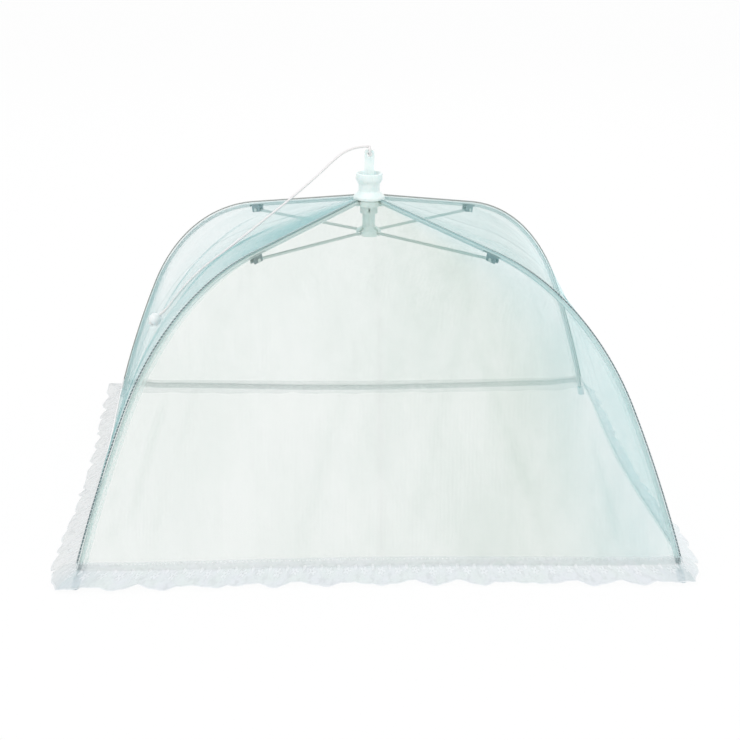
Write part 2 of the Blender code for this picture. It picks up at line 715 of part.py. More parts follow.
def make_tape(corner):
    side_x, side_y = CORNERS[corner]
    along_x = Vector((-side_x * TAPE_FLANGE, 0, 0))
    along_y = Vector((0, -side_y * TAPE_FLANGE, 0))
    lengths = lengths_between(length_at_radius(TAPE_START_R), length_at_height(TAPE_END_Z))
    points = []
    for length in lengths:
        low = crease_point(corner, length, TAPE_LIFT)
        high = crease_point(corner, length, TAPE_LIFT + TAPE_THICK)
        points += [high + along_x, high, high + along_y, low + along_y, low, low + along_x]
    faces = []
    for k in range(len(lengths) - 1):
        for i in range(6):
            a, b = 6 * k + i, 6 * k + (i + 1) % 6
            faces.append((a, b, b + 6, a + 6))
    last = 6 * (len(lengths) - 1)
    for start, forward in ((0, False), (last, True)):
        for quad in ((0, 1, 4, 5), (1, 2, 3, 4)):
            face = [start + q for q in quad]
            faces.append(tuple(face if forward else reversed(face)))
    if side_x * side_y < 0:
        faces = [tuple(reversed(face)) for face in faces]
    pivot = (side_x * PIVOT_R / math.sqrt(2), side_y * PIVOT_R / math.sqrt(2), PIVOT_Z)
    points = [p - Vector(pivot) for p in points]
    tape = solid("rib_tape_" + corner, points, faces, Matrix.Translation(pivot))
    paint(tape, "blue_tape")


def sheet(name, corner, inner, outer, flip, look):
    # A closed sheet between two grids of points with equal rows and columns
    rows, columns = len(inner), len(inner[0])
    side_x, side_y = CORNERS[corner]
    pivot = Vector((side_x * PIVOT_R / math.sqrt(2), side_y * PIVOT_R / math.sqrt(2), PIVOT_Z))
    points = [p - pivot for row in outer for p in row]
    points += [p - pivot for row in inner for p in row]
    half = rows * columns
    faces = grid_faces(rows, columns)
    faces += [tuple(half + v for v in reversed(face)) for face in grid_faces(rows, columns)]
    rim = [(0, j) for j in range(columns)] + [(i, columns - 1) for i in range(1, rows)]
    rim += [(rows - 1, j) for j in range(columns - 2, -1, -1)] + [(i, 0) for i in range(rows - 2, 0, -1)]
    ring = [i * columns + j for i, j in rim]
    for k, a in enumerate(ring):
        b = ring[(k + 1) % len(ring)]
        faces.append((a, b, b + half, a + half))
    if flip:
        faces = [tuple(reversed(face)) for face in faces]
    item = solid(name, points, faces, Matrix.Translation(pivot))
    paint(item, look)
    return item


def net_point(leaf, length, lift, share):
    corner, runs_x = LEAVES[leaf]
    side_x, side_y = CORNERS[corner]
    crease = crease_point(corner, length, lift)
    across = abs(crease.x)
    run = NET_EDGE_GAP + share * (across - NET_MIDDLE_GAP - NET_EDGE_GAP)
    slope = rib_point(length)[2]
    steep = math.sqrt(2) * math.tan(slope)
    size = math.sqrt(1 + steep * steep)
    ramp = min(1.0, max(0.0, (across - SAG_START) / SAG_RAMP))
    sag = SAG_SHARE * 2 * across * ramp * math.sin(math.pi * share / 2) ** 2
    if runs_x:
        move = Vector((-side_x * run, -side_y * sag * steep / size, -sag / size))
    else:
        move = Vector((-side_x * sag * steep / size, -side_y * run, -sag / size))
    return crease + move


def top_length(leaf, lift, share):
    # Where a column of the net starts, so that the sheet's opening is round the crown
    def inside(length):
        p = net_point(leaf, length, lift, share)
        return math.hypot(p.x, p.y) < NET_TOP_R
    return find_length(inside)


def needs_flip(leaf):
    corner, runs_x = LEAVES[leaf]
    side_x, side_y = CORNERS[corner]
    turned = side_x * side_y < 0
    return turned if runs_x else not turned


def make_net(leaf):
    corner, _ = LEAVES[leaf]
    hem_top = length_at_height(NET_END_Z + HEM_BAND)
    end = length_at_height(NET_END_Z)
    lengths = lengths_between(length_at_radius(TAPE_START_R), hem_top - HEM_STEP)[1:]
    inner, outer = [], []
    for thick, rows in ((NET_THICK, [None] + lengths), (HEM_THICK, [hem_top, end])):
        for length in rows:
            inner_row, outer_row = [], []
            for share in NET_COLUMN_SHARES:
                place = top_length(leaf, NET_LIFT, share) if length is None else length
                inner_row.append(net_point(leaf, place, NET_LIFT, share))
                outer_row.append(net_point(leaf, place, NET_LIFT + thick, share))
            inner.append(inner_row)
            outer.append(outer_row)
    sheet("gore_" + leaf, corner, inner, outer, needs_flip(leaf), "aqua_net")


def lace_point(leaf, length, lift, out_share, share):
    # The lace hangs from the hem and flares in even lobes, a lobe on each corner and each middle
    corner, runs_x = LEAVES[leaf]
    side_x, side_y = CORNERS[corner]
    base = crease_point(corner, length, lift)
    wave = (1 + math.cos(2 * math.pi * LOBES * share)) / 2
    turned = math.sin(math.pi / 2 * min(1.0, share / LACE_ROUND_SHARE))
    reach = (LACE_CORNER_SHARE + (1 - LACE_CORNER_SHARE) * turned) * out_share ** LACE_FLARE_POWER
    out = (LACE_TUCK_OUT + (LACE_LOBE_OUT - LACE_TUCK_OUT) * wave) * reach
    low = LACE_TUCK_Z + (LACE_LOBE_Z - LACE_TUCK_Z) * wave
    height = base.z + (low - NET_END_Z) * out_share
    across = abs(base.x)
    sag = SAG_SHARE * 2 * across * math.sin(math.pi * share / 2) ** 2
    corner_out = across + LACE_LOBE_OUT * LACE_CORNER_SHARE * out_share ** LACE_FLARE_POWER
    place = NET_MIDDLE_GAP + (corner_out - LACE_MITRE_GAP - NET_MIDDLE_GAP) * (1 - share)
    if runs_x:
        return Vector((side_x * place, side_y * (across + out - sag), height))
    return Vector((side_x * (across + out - sag), side_y * place, height))


def make_lace(leaf):
    corner, _ = LEAVES[leaf]
    rows = [(length_at_height(LACE_TOP_Z), 0.0)]
    rows += [(length_at_height(NET_END_Z), s) for s in LACE_ROW_SHARES]
    columns = LOBES * LOBE_STEPS
    inner, outer = [], []
    for length, out_share in rows:
        shares = [j / columns for j in range(columns + 1)]
        inner.append([lace_point(leaf, length, LACE_LIFT, out_share, s) for s in shares])
        outer.append([lace_point(leaf, length, LACE_LIFT + LACE_THICK, out_share, s) for s in shares])
    sheet("lace_" + leaf, corner, inner, outer, needs_flip(leaf), "white_lace")


def on_left_gore(distance, lift):
    # The place in the cord's plane that is so far out, at a height over the left gore
    x = distance * math.cos(CORD_BEARING)
    y = distance * math.sin(CORD_BEARING)

    def share_at(length):
        across = abs(crease_point("front_left", length, lift).x)
        return (across - y - NET_EDGE_GAP) / (across - NET_MIDDLE_GAP - NET_EDGE_GAP)

    def inside(length):
        share = min(1.0, max(0.0, share_at(length)))
        return abs(net_point("left_front", length, lift, share).x) < x

    length = find_length(inside)
    return distance, net_point("left_front", length, lift, share_at(length)).z


def smooth_through(knots, steps):
    # Even passage through the knots, with the slope of each stretch kept at its ends
    ends = [(2 * knots[0][0] - knots[1][0], knots[0][1])]
    last, before = knots[-1], knots[-2]
    ends.append((2 * last[0] - before[0], 2 * last[1] - before[1]))
    chain = [ends[0]] + list(knots) + [ends[1]]
    track = []
    for k in range(1, len(chain) - 2):
        p0, p1, p2, p3 = chain[k - 1:k + 3]
        for i in range(steps):
            t = i / steps
            place = []
            for a, b, c, d in zip(p0, p1, p2, p3):
                rise = t * (c - a) + t * t * (2 * a - 5 * b + 4 * c - d)
                place.append(b + (rise + t ** 3 * (3 * b - a - 3 * c + d)) / 2)
            track.append(tuple(place))
    track.append(tuple(last))
    return track


def make_cord():
    over_net = NET_LIFT + NET_THICK
    start = (CORD_START_R, LOOP_Z + LOOP_R)
    touch = on_left_gore(CORD_TOUCH_R, over_net + CORD_REST_GAP + CORD_R)
    knots = [start]
    for out_share, height_share in CORD_FREE_SHARES:
        distance = start[0] + (touch[0] - start[0]) * out_share
        knots.append((distance, touch[1] + (start[1] - touch[1]) * height_share))
    for i in range(CORD_SURFACE_KNOTS):
        share = i / (CORD_SURFACE_KNOTS - 1)
        distance = CORD_TOUCH_R + (CORD_LEAVE_R - CORD_TOUCH_R) * share
        knots.append(on_left_gore(distance, over_net + CORD_REST_GAP + CORD_R))
    bead_foot = on_left_gore(BEAD_FOOT_R, over_net + GAP + BEAD_R)
    lead = Vector((bead_foot[0] - knots[-1][0], bead_foot[1] - knots[-1][1])).normalized()
    entry = BEAD_HALF_LENGTH + CORD_STEP / 2
    knots.append((bead_foot[0] - lead.x * entry, bead_foot[1] - lead.y * entry))
    reach = BEAD_HALF_LENGTH - CORD_END_INSET
    knots.append((bead_foot[0] + lead.x * reach, bead_foot[1] + lead.y * reach))
    track = smooth_through(knots, CORD_KNOT_STEPS)
    stations = []
    for k, (r, z) in enumerate(track):
        r1, z1 = track[max(k - 1, 0)]
        r2, z2 = track[min(k + 1, len(track) - 1)]
        stations.append((r, z, 0.0 if k == 0 else math.atan2(z1 - z2, r2 - r1)))
    turn = Matrix.Rotation(math.pi + CORD_BEARING, 4, "Z")
    cord = tube("pull_cord", stations, CORD_R, CORD_STEPS)
    place_on(cord, turn, knots[0][0], knots[0][1])
    paint(cord, "grey_cord")

    outline = [(BEAD_BORE_R, -BEAD_HALF_LENGTH)]
    tilt = math.asin(BEAD_HALF_LENGTH / BEAD_R)
    for i in range(BEAD_RINGS + 1):
        rise = -tilt + 2 * tilt * i / BEAD_RINGS
        outline.append((BEAD_R * math.cos(rise), BEAD_R * math.sin(rise)))
    outline.append((BEAD_BORE_R, BEAD_HALF_LENGTH))
    bead = revolve("cord_bead", outline, BEAD_STEPS)
    bead.data.transform(Matrix.Rotation(math.pi / 2 + math.atan2(-lead.y, lead.x), 4, "Y"))
    bead.matrix_world = turn @ Matrix.Translation((bead_foot[0], 0, bead_foot[1]))
    paint(bead, "white_bead")


clear_scene()
make_crown()
make_runner()
for corner_name in CORNERS:
    make_rib(corner_name)
    make_stretcher(corner_name)
    make_tape(corner_name)
for leaf_name in LEAVES:
    make_net(leaf_name)
    make_lace(leaf_name)
make_cord()
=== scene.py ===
from math import cos, exp, floor, hypot, pi, radians, sin, sqrt, tan

import bpy
import numpy as np
from mathutils import Matrix, Vector, noise


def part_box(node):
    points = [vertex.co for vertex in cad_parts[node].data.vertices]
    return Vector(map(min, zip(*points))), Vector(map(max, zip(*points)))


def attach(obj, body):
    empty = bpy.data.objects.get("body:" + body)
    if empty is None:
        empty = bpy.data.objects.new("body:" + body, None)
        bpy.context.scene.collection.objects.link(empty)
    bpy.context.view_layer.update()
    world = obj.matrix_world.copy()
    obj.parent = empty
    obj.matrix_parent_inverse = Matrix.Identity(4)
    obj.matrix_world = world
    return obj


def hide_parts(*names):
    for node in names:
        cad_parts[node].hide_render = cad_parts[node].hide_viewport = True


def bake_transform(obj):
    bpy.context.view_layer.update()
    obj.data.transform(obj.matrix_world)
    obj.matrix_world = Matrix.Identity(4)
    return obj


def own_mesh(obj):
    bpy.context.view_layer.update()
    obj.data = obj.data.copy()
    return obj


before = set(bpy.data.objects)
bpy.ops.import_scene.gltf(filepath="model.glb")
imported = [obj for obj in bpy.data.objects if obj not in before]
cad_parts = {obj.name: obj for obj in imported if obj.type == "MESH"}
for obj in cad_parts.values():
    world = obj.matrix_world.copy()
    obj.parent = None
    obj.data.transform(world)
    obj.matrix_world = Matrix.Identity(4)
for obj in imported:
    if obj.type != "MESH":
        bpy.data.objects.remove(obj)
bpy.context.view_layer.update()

# Sizes of the ribs, in metres, as the part's source has them
HALF_SPAN = 0.215
FOOT_R = HALF_SPAN * sqrt(2)
PIVOT_R, PIVOT_Z = 0.0093, 0.2318
SHOULDER_START_R = 0.127
ARM_SLOPE, SHOULDER_SLOPE, FOOT_SLOPE = (radians(a) for a in (11.2, 61.0, 70.6))

# Sizes of the soft pieces, in metres: lifts above the rib's line, ends, cut sizes and thicknesses
TAPE_LIFT = 0.0015
TAPE_END_Z = 0.0085
SEAM_LIFT = 0.0028
NET_LIFT = 0.0022
NET_TOP_R = 0.0127
NET_THREAD = 0.0003
NET_END_Z = 0.012
NET_OUTER_LIFT = 0.0024
HEM_HIGH_Z = 0.0168
SAG_START, SAG_RAMP, SAG_SHARE = 0.018, 0.06, 0.013
LACE_LIFT = 0.0036
LACE_HEADING, LACE_FALL = 0.0115, 0.0125
LACE_TOP_Z = 0.0182
LOBE_Z, TUCK_Z = 0.0012, 0.0036
LOBES = 6
CURL_UP = 0.009
TAPE_START_R, SLEEVE_START_R, SEAM_START_R = 0.0154, 0.0142, 0.0134
SEAM_END_Z = 0.0175
SLEEVE_R, SEAM_R, STITCH_R = 0.00128, 0.00047, 0.00021
STITCH_PITCH = 0.0027

# Pitch of the tape's threads, in millimetres
WARP_PITCH, WEFT_PITCH = 0.5, 0.42

# Camera: the photograph's width and the lens's length in pixels, its place in metres, and its yaw,
# pitch and roll in degrees
IMAGE_WIDTH = 740
FOCAL_LENGTH = 1774.3
CAMERA_PLACE = (-0.0766, -1.3644, 0.519)
CAMERA_TURNS = (-3.318, 17.351, 0.714)

# The way of each corner along x and y
CORNERS = {
    "front_left": (-1, -1),
    "front_right": (1, -1),
    "back_left": (-1, 1),
    "back_right": (1, 1),
}
# Each half gore: the corner that its rib stands on, and whether its hem runs along x
LEAVES = {
    "front_left": ("front_left", True),
    "front_right": ("front_right", True),
    "right_front": ("front_right", False),
    "right_back": ("back_right", False),
    "back_right": ("back_right", True),
    "back_left": ("back_left", True),
    "left_back": ("back_left", False),
    "left_front": ("front_left", False),
}


def ripple(a, b, c):
    """Smooth unevenness, the same on each run."""
    return noise.noise(Vector((a, b, c)))


def new_object(name, data):
    item = bpy.data.objects.new(name, data)
    bpy.context.scene.collection.objects.link(item)
    return item


# Camera, fitted to the four feet and the rib lines
def place_camera():
    yaw, pitch, roll = (radians(a) for a in CAMERA_TURNS)
    ahead = Vector((-sin(yaw) * cos(pitch), cos(yaw) * cos(pitch), -sin(pitch)))
    level = Vector((cos(yaw), sin(yaw), 0))
    over = level.cross(ahead)
    right = cos(roll) * level + sin(roll) * over
    top = -sin(roll) * level + cos(roll) * over
    matrix = Matrix((right, top, -ahead)).transposed().to_4x4()
    matrix.translation = CAMERA_PLACE
    data = bpy.data.cameras.new("camera")
    data.sensor_width = 36
    data.lens = data.sensor_width * FOCAL_LENGTH / IMAGE_WIDTH
    data.clip_start, data.clip_end = 0.05, 40
    camera = new_object("camera", data)
    camera.matrix_world = matrix
    bpy.context.scene.camera = camera


place_camera()


# Materials
class Nodes:
    """A node tree whose nodes are added one by one."""

    def __init__(self, owner):
        owner.use_nodes = True
        self.tree = owner.node_tree

    def set(self, node, socket, value):
        if isinstance(value, bpy.types.NodeSocket):
            self.tree.links.new(value, node.inputs[socket])
        else:
            node.inputs[socket].default_value = value

    def add(self, kind, result, settings=None, **inputs):
        node = self.tree.nodes.new(kind)
        for name, value in (settings or {}).items():
            setattr(node, name, value)
        for socket, value in inputs.items():
            key = int(socket[1:]) if socket[0] == "_" else socket.replace("_", " ")
            self.set(node, key, value)
        return node.outputs[result]

    def math(self, operation, a, b=0.0, c=0.0):
        node = self.tree.nodes.new("ShaderNodeMath")
        node.operation = operation
        for k, value in enumerate((a, b, c)):
            self.set(node, k, value)
        return node.outputs[0]

    def times(self, a, b):
        return self.math("MULTIPLY", a, b)

    def plus(self, a, b):
        return self.math("ADD", a, b)

    def minus(self, a, b):
        return self.math("SUBTRACT", a, b)

    def most(self, a, b):
        return self.math("MAXIMUM", a, b)

    def seen_directly(self):
        """1 for the camera's own rays and for those that gloss and glass send on."""
        rays = self.tree.nodes.new("ShaderNodeLightPath")
        result = rays.outputs["Is Camera Ray"]
        for kind in ("Is Glossy Ray", "Is Transmission Ray"):
            result = self.most(result, rays.outputs[kind])
        return result


class Look(Nodes):
    """A material whose nodes read only UV, object coordinates and numbers kept on the mesh."""

    def __init__(self, name, colour, roughness, metallic=0.0, **sockets):
        self.material = bpy.data.materials.new(name)
        super().__init__(self.material)
        self.shader = self.tree.nodes["Principled BSDF"]
        self.paint((*colour, 1.0))
        self.give("Roughness", roughness)
        self.give("Metallic", metallic)
        for socket, value in sockets.items():
            self.give(socket.replace("_", " "), value)

    def give(self, socket, value):
        self.set(self.shader, socket, value)

    def paint(self, colour):
        self.give("Base Color", colour)

    def place(self, scale, kind="Object"):
        coordinates = self.tree.nodes.new("ShaderNodeTexCoord")
        return self.add("ShaderNodeMapping", 0, Vector=coordinates.outputs[kind],
                        Scale=scale if hasattr(scale, "__len__") else (scale,) * 3)

    def parts(self, where):
        node = self.tree.nodes.new("ShaderNodeSeparateXYZ")
        self.set(node, 0, where)
        return node.outputs[0], node.outputs[1]

    def cloth(self):
        """The cloth's own flat coordinates, in millimetres."""
        return self.place(1000.0, "UV")

    def flat(self):
        return self.parts(self.cloth())

    def value(self, name):
        """A number kept on the mesh's points."""
        return self.add("ShaderNodeAttribute", "Fac", {"attribute_name": name})

    def noise(self, where, scale, detail=3.0, rough=0.55):
        return self.add("ShaderNodeTexNoise", "Fac", Vector=where, Scale=scale, Detail=detail,
                        Roughness=rough)

    def spread(self, value, low, high, to_low=0.0, to_high=1.0):
        node = self.tree.nodes.new("ShaderNodeMapRange")
        node.interpolation_type = "SMOOTHSTEP"
        for k, item in enumerate((value, low, high, to_low, to_high)):
            self.set(node, k, item)
        return node.outputs[0]

    def mix(self, share, a, b):
        node = self.tree.nodes.new("ShaderNodeMix")
        node.data_type = "RGBA"
        self.set(node, 0, share)
        for k, value in ((6, a), (7, b)):
            self.set(node, k, value if isinstance(value, bpy.types.NodeSocket) else (*value, 1.0))
        return node.outputs[2]

    def bump(self, height, strength, distance):
        self.give("Normal", self.add("ShaderNodeBump", 0, Height=height, Strength=strength,
                                     Distance=distance))

    def threads(self, u, v, pitch):
        """A hexagonal net of threads: low on the threads, high in the holes."""
        turn = 2 * pi / pitch
        total = None
        for a, b in ((1.0, 0.0), (-0.5, 0.8660254), (-0.5, -0.8660254)):
            wave = self.math("COSINE", self.plus(self.times(u, a * turn), self.times(v, b * turn)))
            total = wave if total is None else self.plus(total, wave)
        return total

    def weave(self, u, v):
        """Plain weave, high where a thread lies on top."""
        warp = self.math("SINE", self.times(u, 2 * pi / WARP_PITCH))
        weft = self.math("SINE", self.times(v, 2 * pi / WEFT_PITCH))
        return self.times(warp, weft)


def plastic_look(name, low, high, mould=True):
    """Moulded plastic with faint flow lines, closer together where mould is set."""
    look = Look(name, high, 0.3, Subsurface_Weight=0.25, Subsurface_Radius=(0.002, 0.0024, 0.0026),
                Subsurface_Scale=0.6, Coat_Weight=0.12, Coat_Roughness=0.2)
    where = look.place(1.0)
    cloud = look.noise(where, 140.0, 4.0)
    grain = look.noise(where, 1600.0, 2.0)
    streak = look.noise(look.place((1.0, 1.0, 0.18)), 900.0, 3.0)
    look.paint(look.mix(look.spread(cloud, 0.3, 0.7), low, high))
    look.give("Roughness", look.spread(streak, 0.3, 0.75, 0.24, 0.46))
    lines = look.add("ShaderNodeTexWave", "Fac", {"bands_direction": "Z"}, Vector=where,
                     Scale=520.0 if mould else 90.0, Distortion=1.4, Detail=2.0)
    height = look.plus(look.times(grain, 0.6), look.times(lines, 0.25))
    look.bump(height, 0.35, 0.00012)
    return look.material


def wire_look(name, colour, bare, length_scale, metallic, wear):
    """Steel with scratches along it and patches worn down to the bare colour."""
    look = Look(name, colour, 0.4, metallic, Specular_IOR_Level=0.5)
    where = look.place(1.0)
    patch = look.noise(where, 230.0, 5.0, 0.7)
    fine = look.noise(where, 2600.0, 3.0)
    scratch = look.noise(look.place(length_scale), 700.0, 4.0, 0.65)
    worn = look.times(look.spread(patch, 0.56, 0.66), look.spread(scratch, 0.45, 0.62))
    worn = look.times(worn, wear)
    shade = look.mix(look.spread(fine, 0.3, 0.7), [c * 0.82 for c in colour],
                     [min(1, c * 1.2) for c in colour])
    look.paint(look.mix(worn, shade, bare))
    look.give("Roughness", look.spread(scratch, 0.25, 0.75, 0.3, 0.56))
    look.bump(look.plus(look.times(scratch, 0.7), look.times(fine, 0.3)), 0.4, 0.00008)
    return look.material


def net_look(name, low, high, density, ramps, top_shade=None, crease_shade=0.75, crown=None, foot=None, thin=1.0,
             end=None):
    """Fine tulle. ramps are (from, to, share there, share there) of its density over the gore, from -1 at
    one rib to 1 at the other; denser tulle is darker, so on the front gore they are a painted shade that
    darkens it towards the right.
    upper is a painted shade, the duller colour of its flatter top, and end its colour near the second rib.
    creases is how much painted shade darkens its folds, crown its density at the top, thin its density at
    the bottom and foot the least density there."""
    look = Look(name, high, 0.62, Sheen_Weight=0.15, Sheen_Roughness=0.4, Specular_IOR_Level=0.2)
    u, v = look.flat()
    where = look.cloth()
    wander = look.noise(where, 0.12, 2.0)
    drift = look.times(look.minus(wander, 0.5), 1.1)
    holes = look.threads(look.plus(u, drift), look.minus(v, drift), 0.95)
    thread = look.spread(holes, -1.3, 0.9, 1.22, 0.7)
    slow = look.noise(look.place((1000.0, 420.0, 1000.0), "UV"), 0.018, 4.0, 0.6)
    cover = look.times(thread, look.spread(slow, 0.3, 0.7, 0.82 * density, 1.2 * density))
    # Density across the gore; on the front gore it is a painted shade, darker towards the right.
    span = look.value("span")
    share = None
    for ramp in ramps:
        value = look.spread(span, *ramp)
        share = value if share is None else look.times(share, value)
    if foot:
        share = look.most(share, look.spread(v, *foot))
    cover = look.times(cover, share)
    if thin != 1.0:
        cover = look.times(cover, look.spread(v, 190.0, 270.0, 1.0, thin))
    # Painted shade: the tulle is denser, and so darker, along its sharp folds.
    folds = look.value("fold")
    cover = look.times(cover, look.math("MULTIPLY_ADD", folds, crease_shade, 1.0))
    if crown:
        cover = look.times(cover, look.spread(v, *crown))
    look.give("Alpha", look.math("MINIMUM", cover, 0.92))
    tone = look.spread(look.noise(where, 0.5, 3.0), 0.3, 0.7)
    shade = look.mix(tone, low, high)
    # Painted shade: a duller colour over the gore's flatter top.
    if top_shade:
        shade = look.mix(look.spread(v, 110.0, 190.0), top_shade, shade)
    if end:
        shade = look.mix(look.spread(span, 0.5, 0.95), shade, end)
    look.paint(shade)
    look.bump(thread, 0.25, 0.0002)
    return look.material


def hem_look(name, share, low=(0.62, 0.80, 0.81), high=(0.74, 0.84, 0.87)):
    """Turned-in net with one row of stitching. share is how dense it is."""
    look = Look(name, (0.78, 0.87, 0.88), 0.7, Sheen_Weight=0.2, Sheen_Roughness=0.4)
    u, v = look.flat()
    holes = look.threads(u, v, 0.95)
    stitch = look.math("ABSOLUTE", look.minus(look.math("FRACT", look.math("DIVIDE", u, 2.4)), 0.5))
    row = look.math("ABSOLUTE", look.minus(v, 1.2))
    thread = look.times(look.spread(stitch, 0.3, 0.36, 1.0, 0.0), look.spread(row, 0.2, 0.35, 1.0, 0.0))
    weave = look.spread(holes, -1.0, 1.0, 1.5, 0.6)
    cover = look.most(look.times(weave, 0.15), look.times(thread, 0.5))
    look.give("Alpha", look.times(cover, share))
    wash = look.spread(look.noise(look.cloth(), 0.06, 3.0), 0.35, 0.65)
    cloth = look.mix(wash, low, high)
    look.paint(look.mix(thread, cloth, (0.88, 0.9, 0.92)))
    look.bump(look.plus(weave, thread), 0.5, 0.0003)
    return look.material


def lace_look(name, share, shade, fold_shade=0.3, heading=1.0):
    """Flowers and leaves of solid stitching on a dense ground, with eyelets and a corded scalloped edge.
    share is its density, hollows how much painted shade darkens streaks in its folds and heading its
    density above the hem. A painted shade also darkens it towards the front corners."""
    look = Look(name, (0.8, 0.82, 0.83), 0.8, Sheen_Weight=0.3, Sheen_Roughness=0.35)
    u, v = look.flat()

    def cell(pitch, shift):
        part = look.math("FRACT", look.plus(look.math("DIVIDE", u, pitch), shift))
        return look.times(look.minus(part, 0.5), pitch)

    def length(a, b):
        return look.math("SQRT", look.plus(look.times(a, a), look.times(b, b)))

    x, y = cell(12.0, 0.5), look.minus(v, 14.6)
    radius, angle = length(x, y), look.math("ARCTAN2", y, x)
    petals = look.math("MULTIPLY_ADD", look.math("COSINE", look.times(angle, 5.0)), 0.8, 2.3)
    flower = look.spread(look.minus(radius, petals), -0.25, 0.15, 1.0, 0.0)
    flower = look.times(flower, look.spread(radius, 0.4, 0.7))
    rise = look.minus(v, 11.0)
    leaf = length(look.math("DIVIDE", cell(12.0, 0.0), 1.2), look.math("DIVIDE", rise, 3.0))
    leaf = look.spread(leaf, 0.8, 1.1, 1.0, 0.0)
    eyelet = look.spread(length(cell(3.0, 0.0), look.minus(v, 2.6)), 0.45, 0.7, 1.0, 0.0)
    edge = look.value("edge")
    cord = look.spread(edge, 0.8, 1.2, 1.0, 0.0)
    ground = look.spread(look.threads(u, v, 0.9), -0.9, 0.6, 1.0, 0.0)
    solid = look.most(look.most(flower, leaf), cord)
    fluff = look.noise(look.cloth(), 1.4, 4.0, 0.7)
    cloud = look.noise(look.cloth(), 0.07, 3.0)
    thin = look.math("MULTIPLY_ADD", ground, 0.05, look.spread(cloud, 0.3, 0.7, 0.66, 0.8))
    cover = look.most(look.times(solid, 0.93), thin)
    cover = look.times(cover, look.minus(1.0, look.times(eyelet, 0.6)))
    cover = look.times(cover, share)
    if heading != 1.0:
        cover = look.times(cover, look.spread(v, 9.0, 13.0, heading, 1.0))
    look.give("Alpha", cover)
    tint = look.mix(look.spread(cloud, 0.3, 0.7), *shade)
    tint = look.mix(look.spread(fluff, 0.3, 0.7, 0.0, 0.6), tint, (0.73, 0.76, 0.77))
    # Painted shade: darker streaks running down the lace where its folds lie.
    fold_streaks = look.noise(look.place((1000.0, 700.0, 1000.0), "UV"), 0.26, 3.0, 0.6)
    fold_streaks = look.spread(fold_streaks, 0.5, 0.64, 0.0, fold_shade)
    tint = look.mix(fold_streaks, tint, (0.42, 0.46, 0.47))
    # Painted shade: a darker teal towards the front corners, where the lace bunches up.
    corner_shade = look.value("corner_shade")
    corner_shade = look.times(corner_shade, look.spread(cloud, 0.25, 0.6, 0.95, 0.55))
    tint = look.mix(corner_shade, tint, (0.42, 0.52, 0.55))
    look.paint(look.mix(look.times(solid, 0.5), tint, (0.82, 0.84, 0.86)))
    satin = look.math("SINE", look.times(look.plus(u, look.times(v, 0.5)), 12.0))
    relief = look.plus(solid, look.times(satin, 0.1))
    look.bump(look.plus(relief, look.times(fluff, 0.3)), 0.6, 0.0004)
    return look.material


def tape_look(name, beside=(0.40, 0.76, 0.81), openwork=0.0):
    """Woven casing tape with two rows of zigzag stitching. beside is its colour on the side gore; its other
    flange takes a near-white copy, a painted light. openwork is how strongly its front flange shows as a
    speckled band."""
    look = Look(name, (0.5, 0.62, 0.66), 0.75, Sheen_Weight=0.25, Sheen_Roughness=0.4)
    u, v = look.flat()
    weave = look.weave(u, v)
    swing = look.math("PINGPONG", v, 1.25)
    row = look.math("MULTIPLY_ADD", swing, 1.3, 2.6)
    zig = look.math("ABSOLUTE", look.minus(look.math("ABSOLUTE", u), row))
    thread = look.spread(zig, 0.22, 0.42, 1.0, 0.0)
    shade = look.mix(look.spread(look.noise(look.cloth(), 0.3, 4.0), 0.3, 0.7),
                     (0.60, 0.78, 0.79), (0.70, 0.86, 0.87))
    shade = look.mix(look.spread(weave, -0.6, 0.6), shade, (0.76, 0.88, 0.89))
    # Painted light: the flange on the front and back gores is near-white, lifted out of the shade of the
    # net and seam over it.
    side = look.spread(u, -0.3, 0.3)
    shade = look.mix(side, look.mix(0.75, shade, (0.94, 0.99, 0.98)), look.mix(0.8, shade, beside))
    cover = look.spread(look.most(weave, thread), -0.7, 0.3, 0.06, 0.2)
    cover = look.math("MULTIPLY_ADD", side, 0.22, cover)
    if openwork:
        band = look.times(look.minus(1.0, side), openwork)
        speck = look.spread(look.noise(look.cloth(), 0.8, 3.0, 0.7), 0.42, 0.58)
        shade = look.mix(look.times(speck, band), shade, (0.62, 0.76, 0.77))
        cover = look.most(cover, look.times(band, look.spread(speck, 0.0, 1.0, 0.3, 0.62)))
    look.paint(look.mix(thread, shade, (0.82, 0.86, 0.88)))
    over_wire = look.spread(look.math("ABSOLUTE", u), 2.6, 3.4, 0.92, 0.0)
    look.give("Alpha", look.most(cover, over_wire))
    look.bump(look.plus(look.times(weave, 0.35), thread), 0.2, 0.0002)
    return look.material


def tape_sleeve_look(name, low, high, woven):
    """The same tape where it wraps under the wire, seen from inside the cover."""
    look = Look(name, (0.66, 0.82, 0.83), 0.75, Sheen_Weight=0.25, Sheen_Roughness=0.4)
    u, v = look.flat()
    weave = look.weave(u, v)
    cloud = look.noise(look.cloth(), 0.25, 4.0)
    shade = look.mix(look.spread(cloud, 0.3, 0.7), low, high)
    look.paint(look.mix(look.spread(weave, -0.6, 0.6), shade, woven))
    look.give("Alpha", look.spread(weave, -0.7, 0.1, 0.72, 0.95))
    look.bump(weave, 0.5, 0.0002)
    return look.material


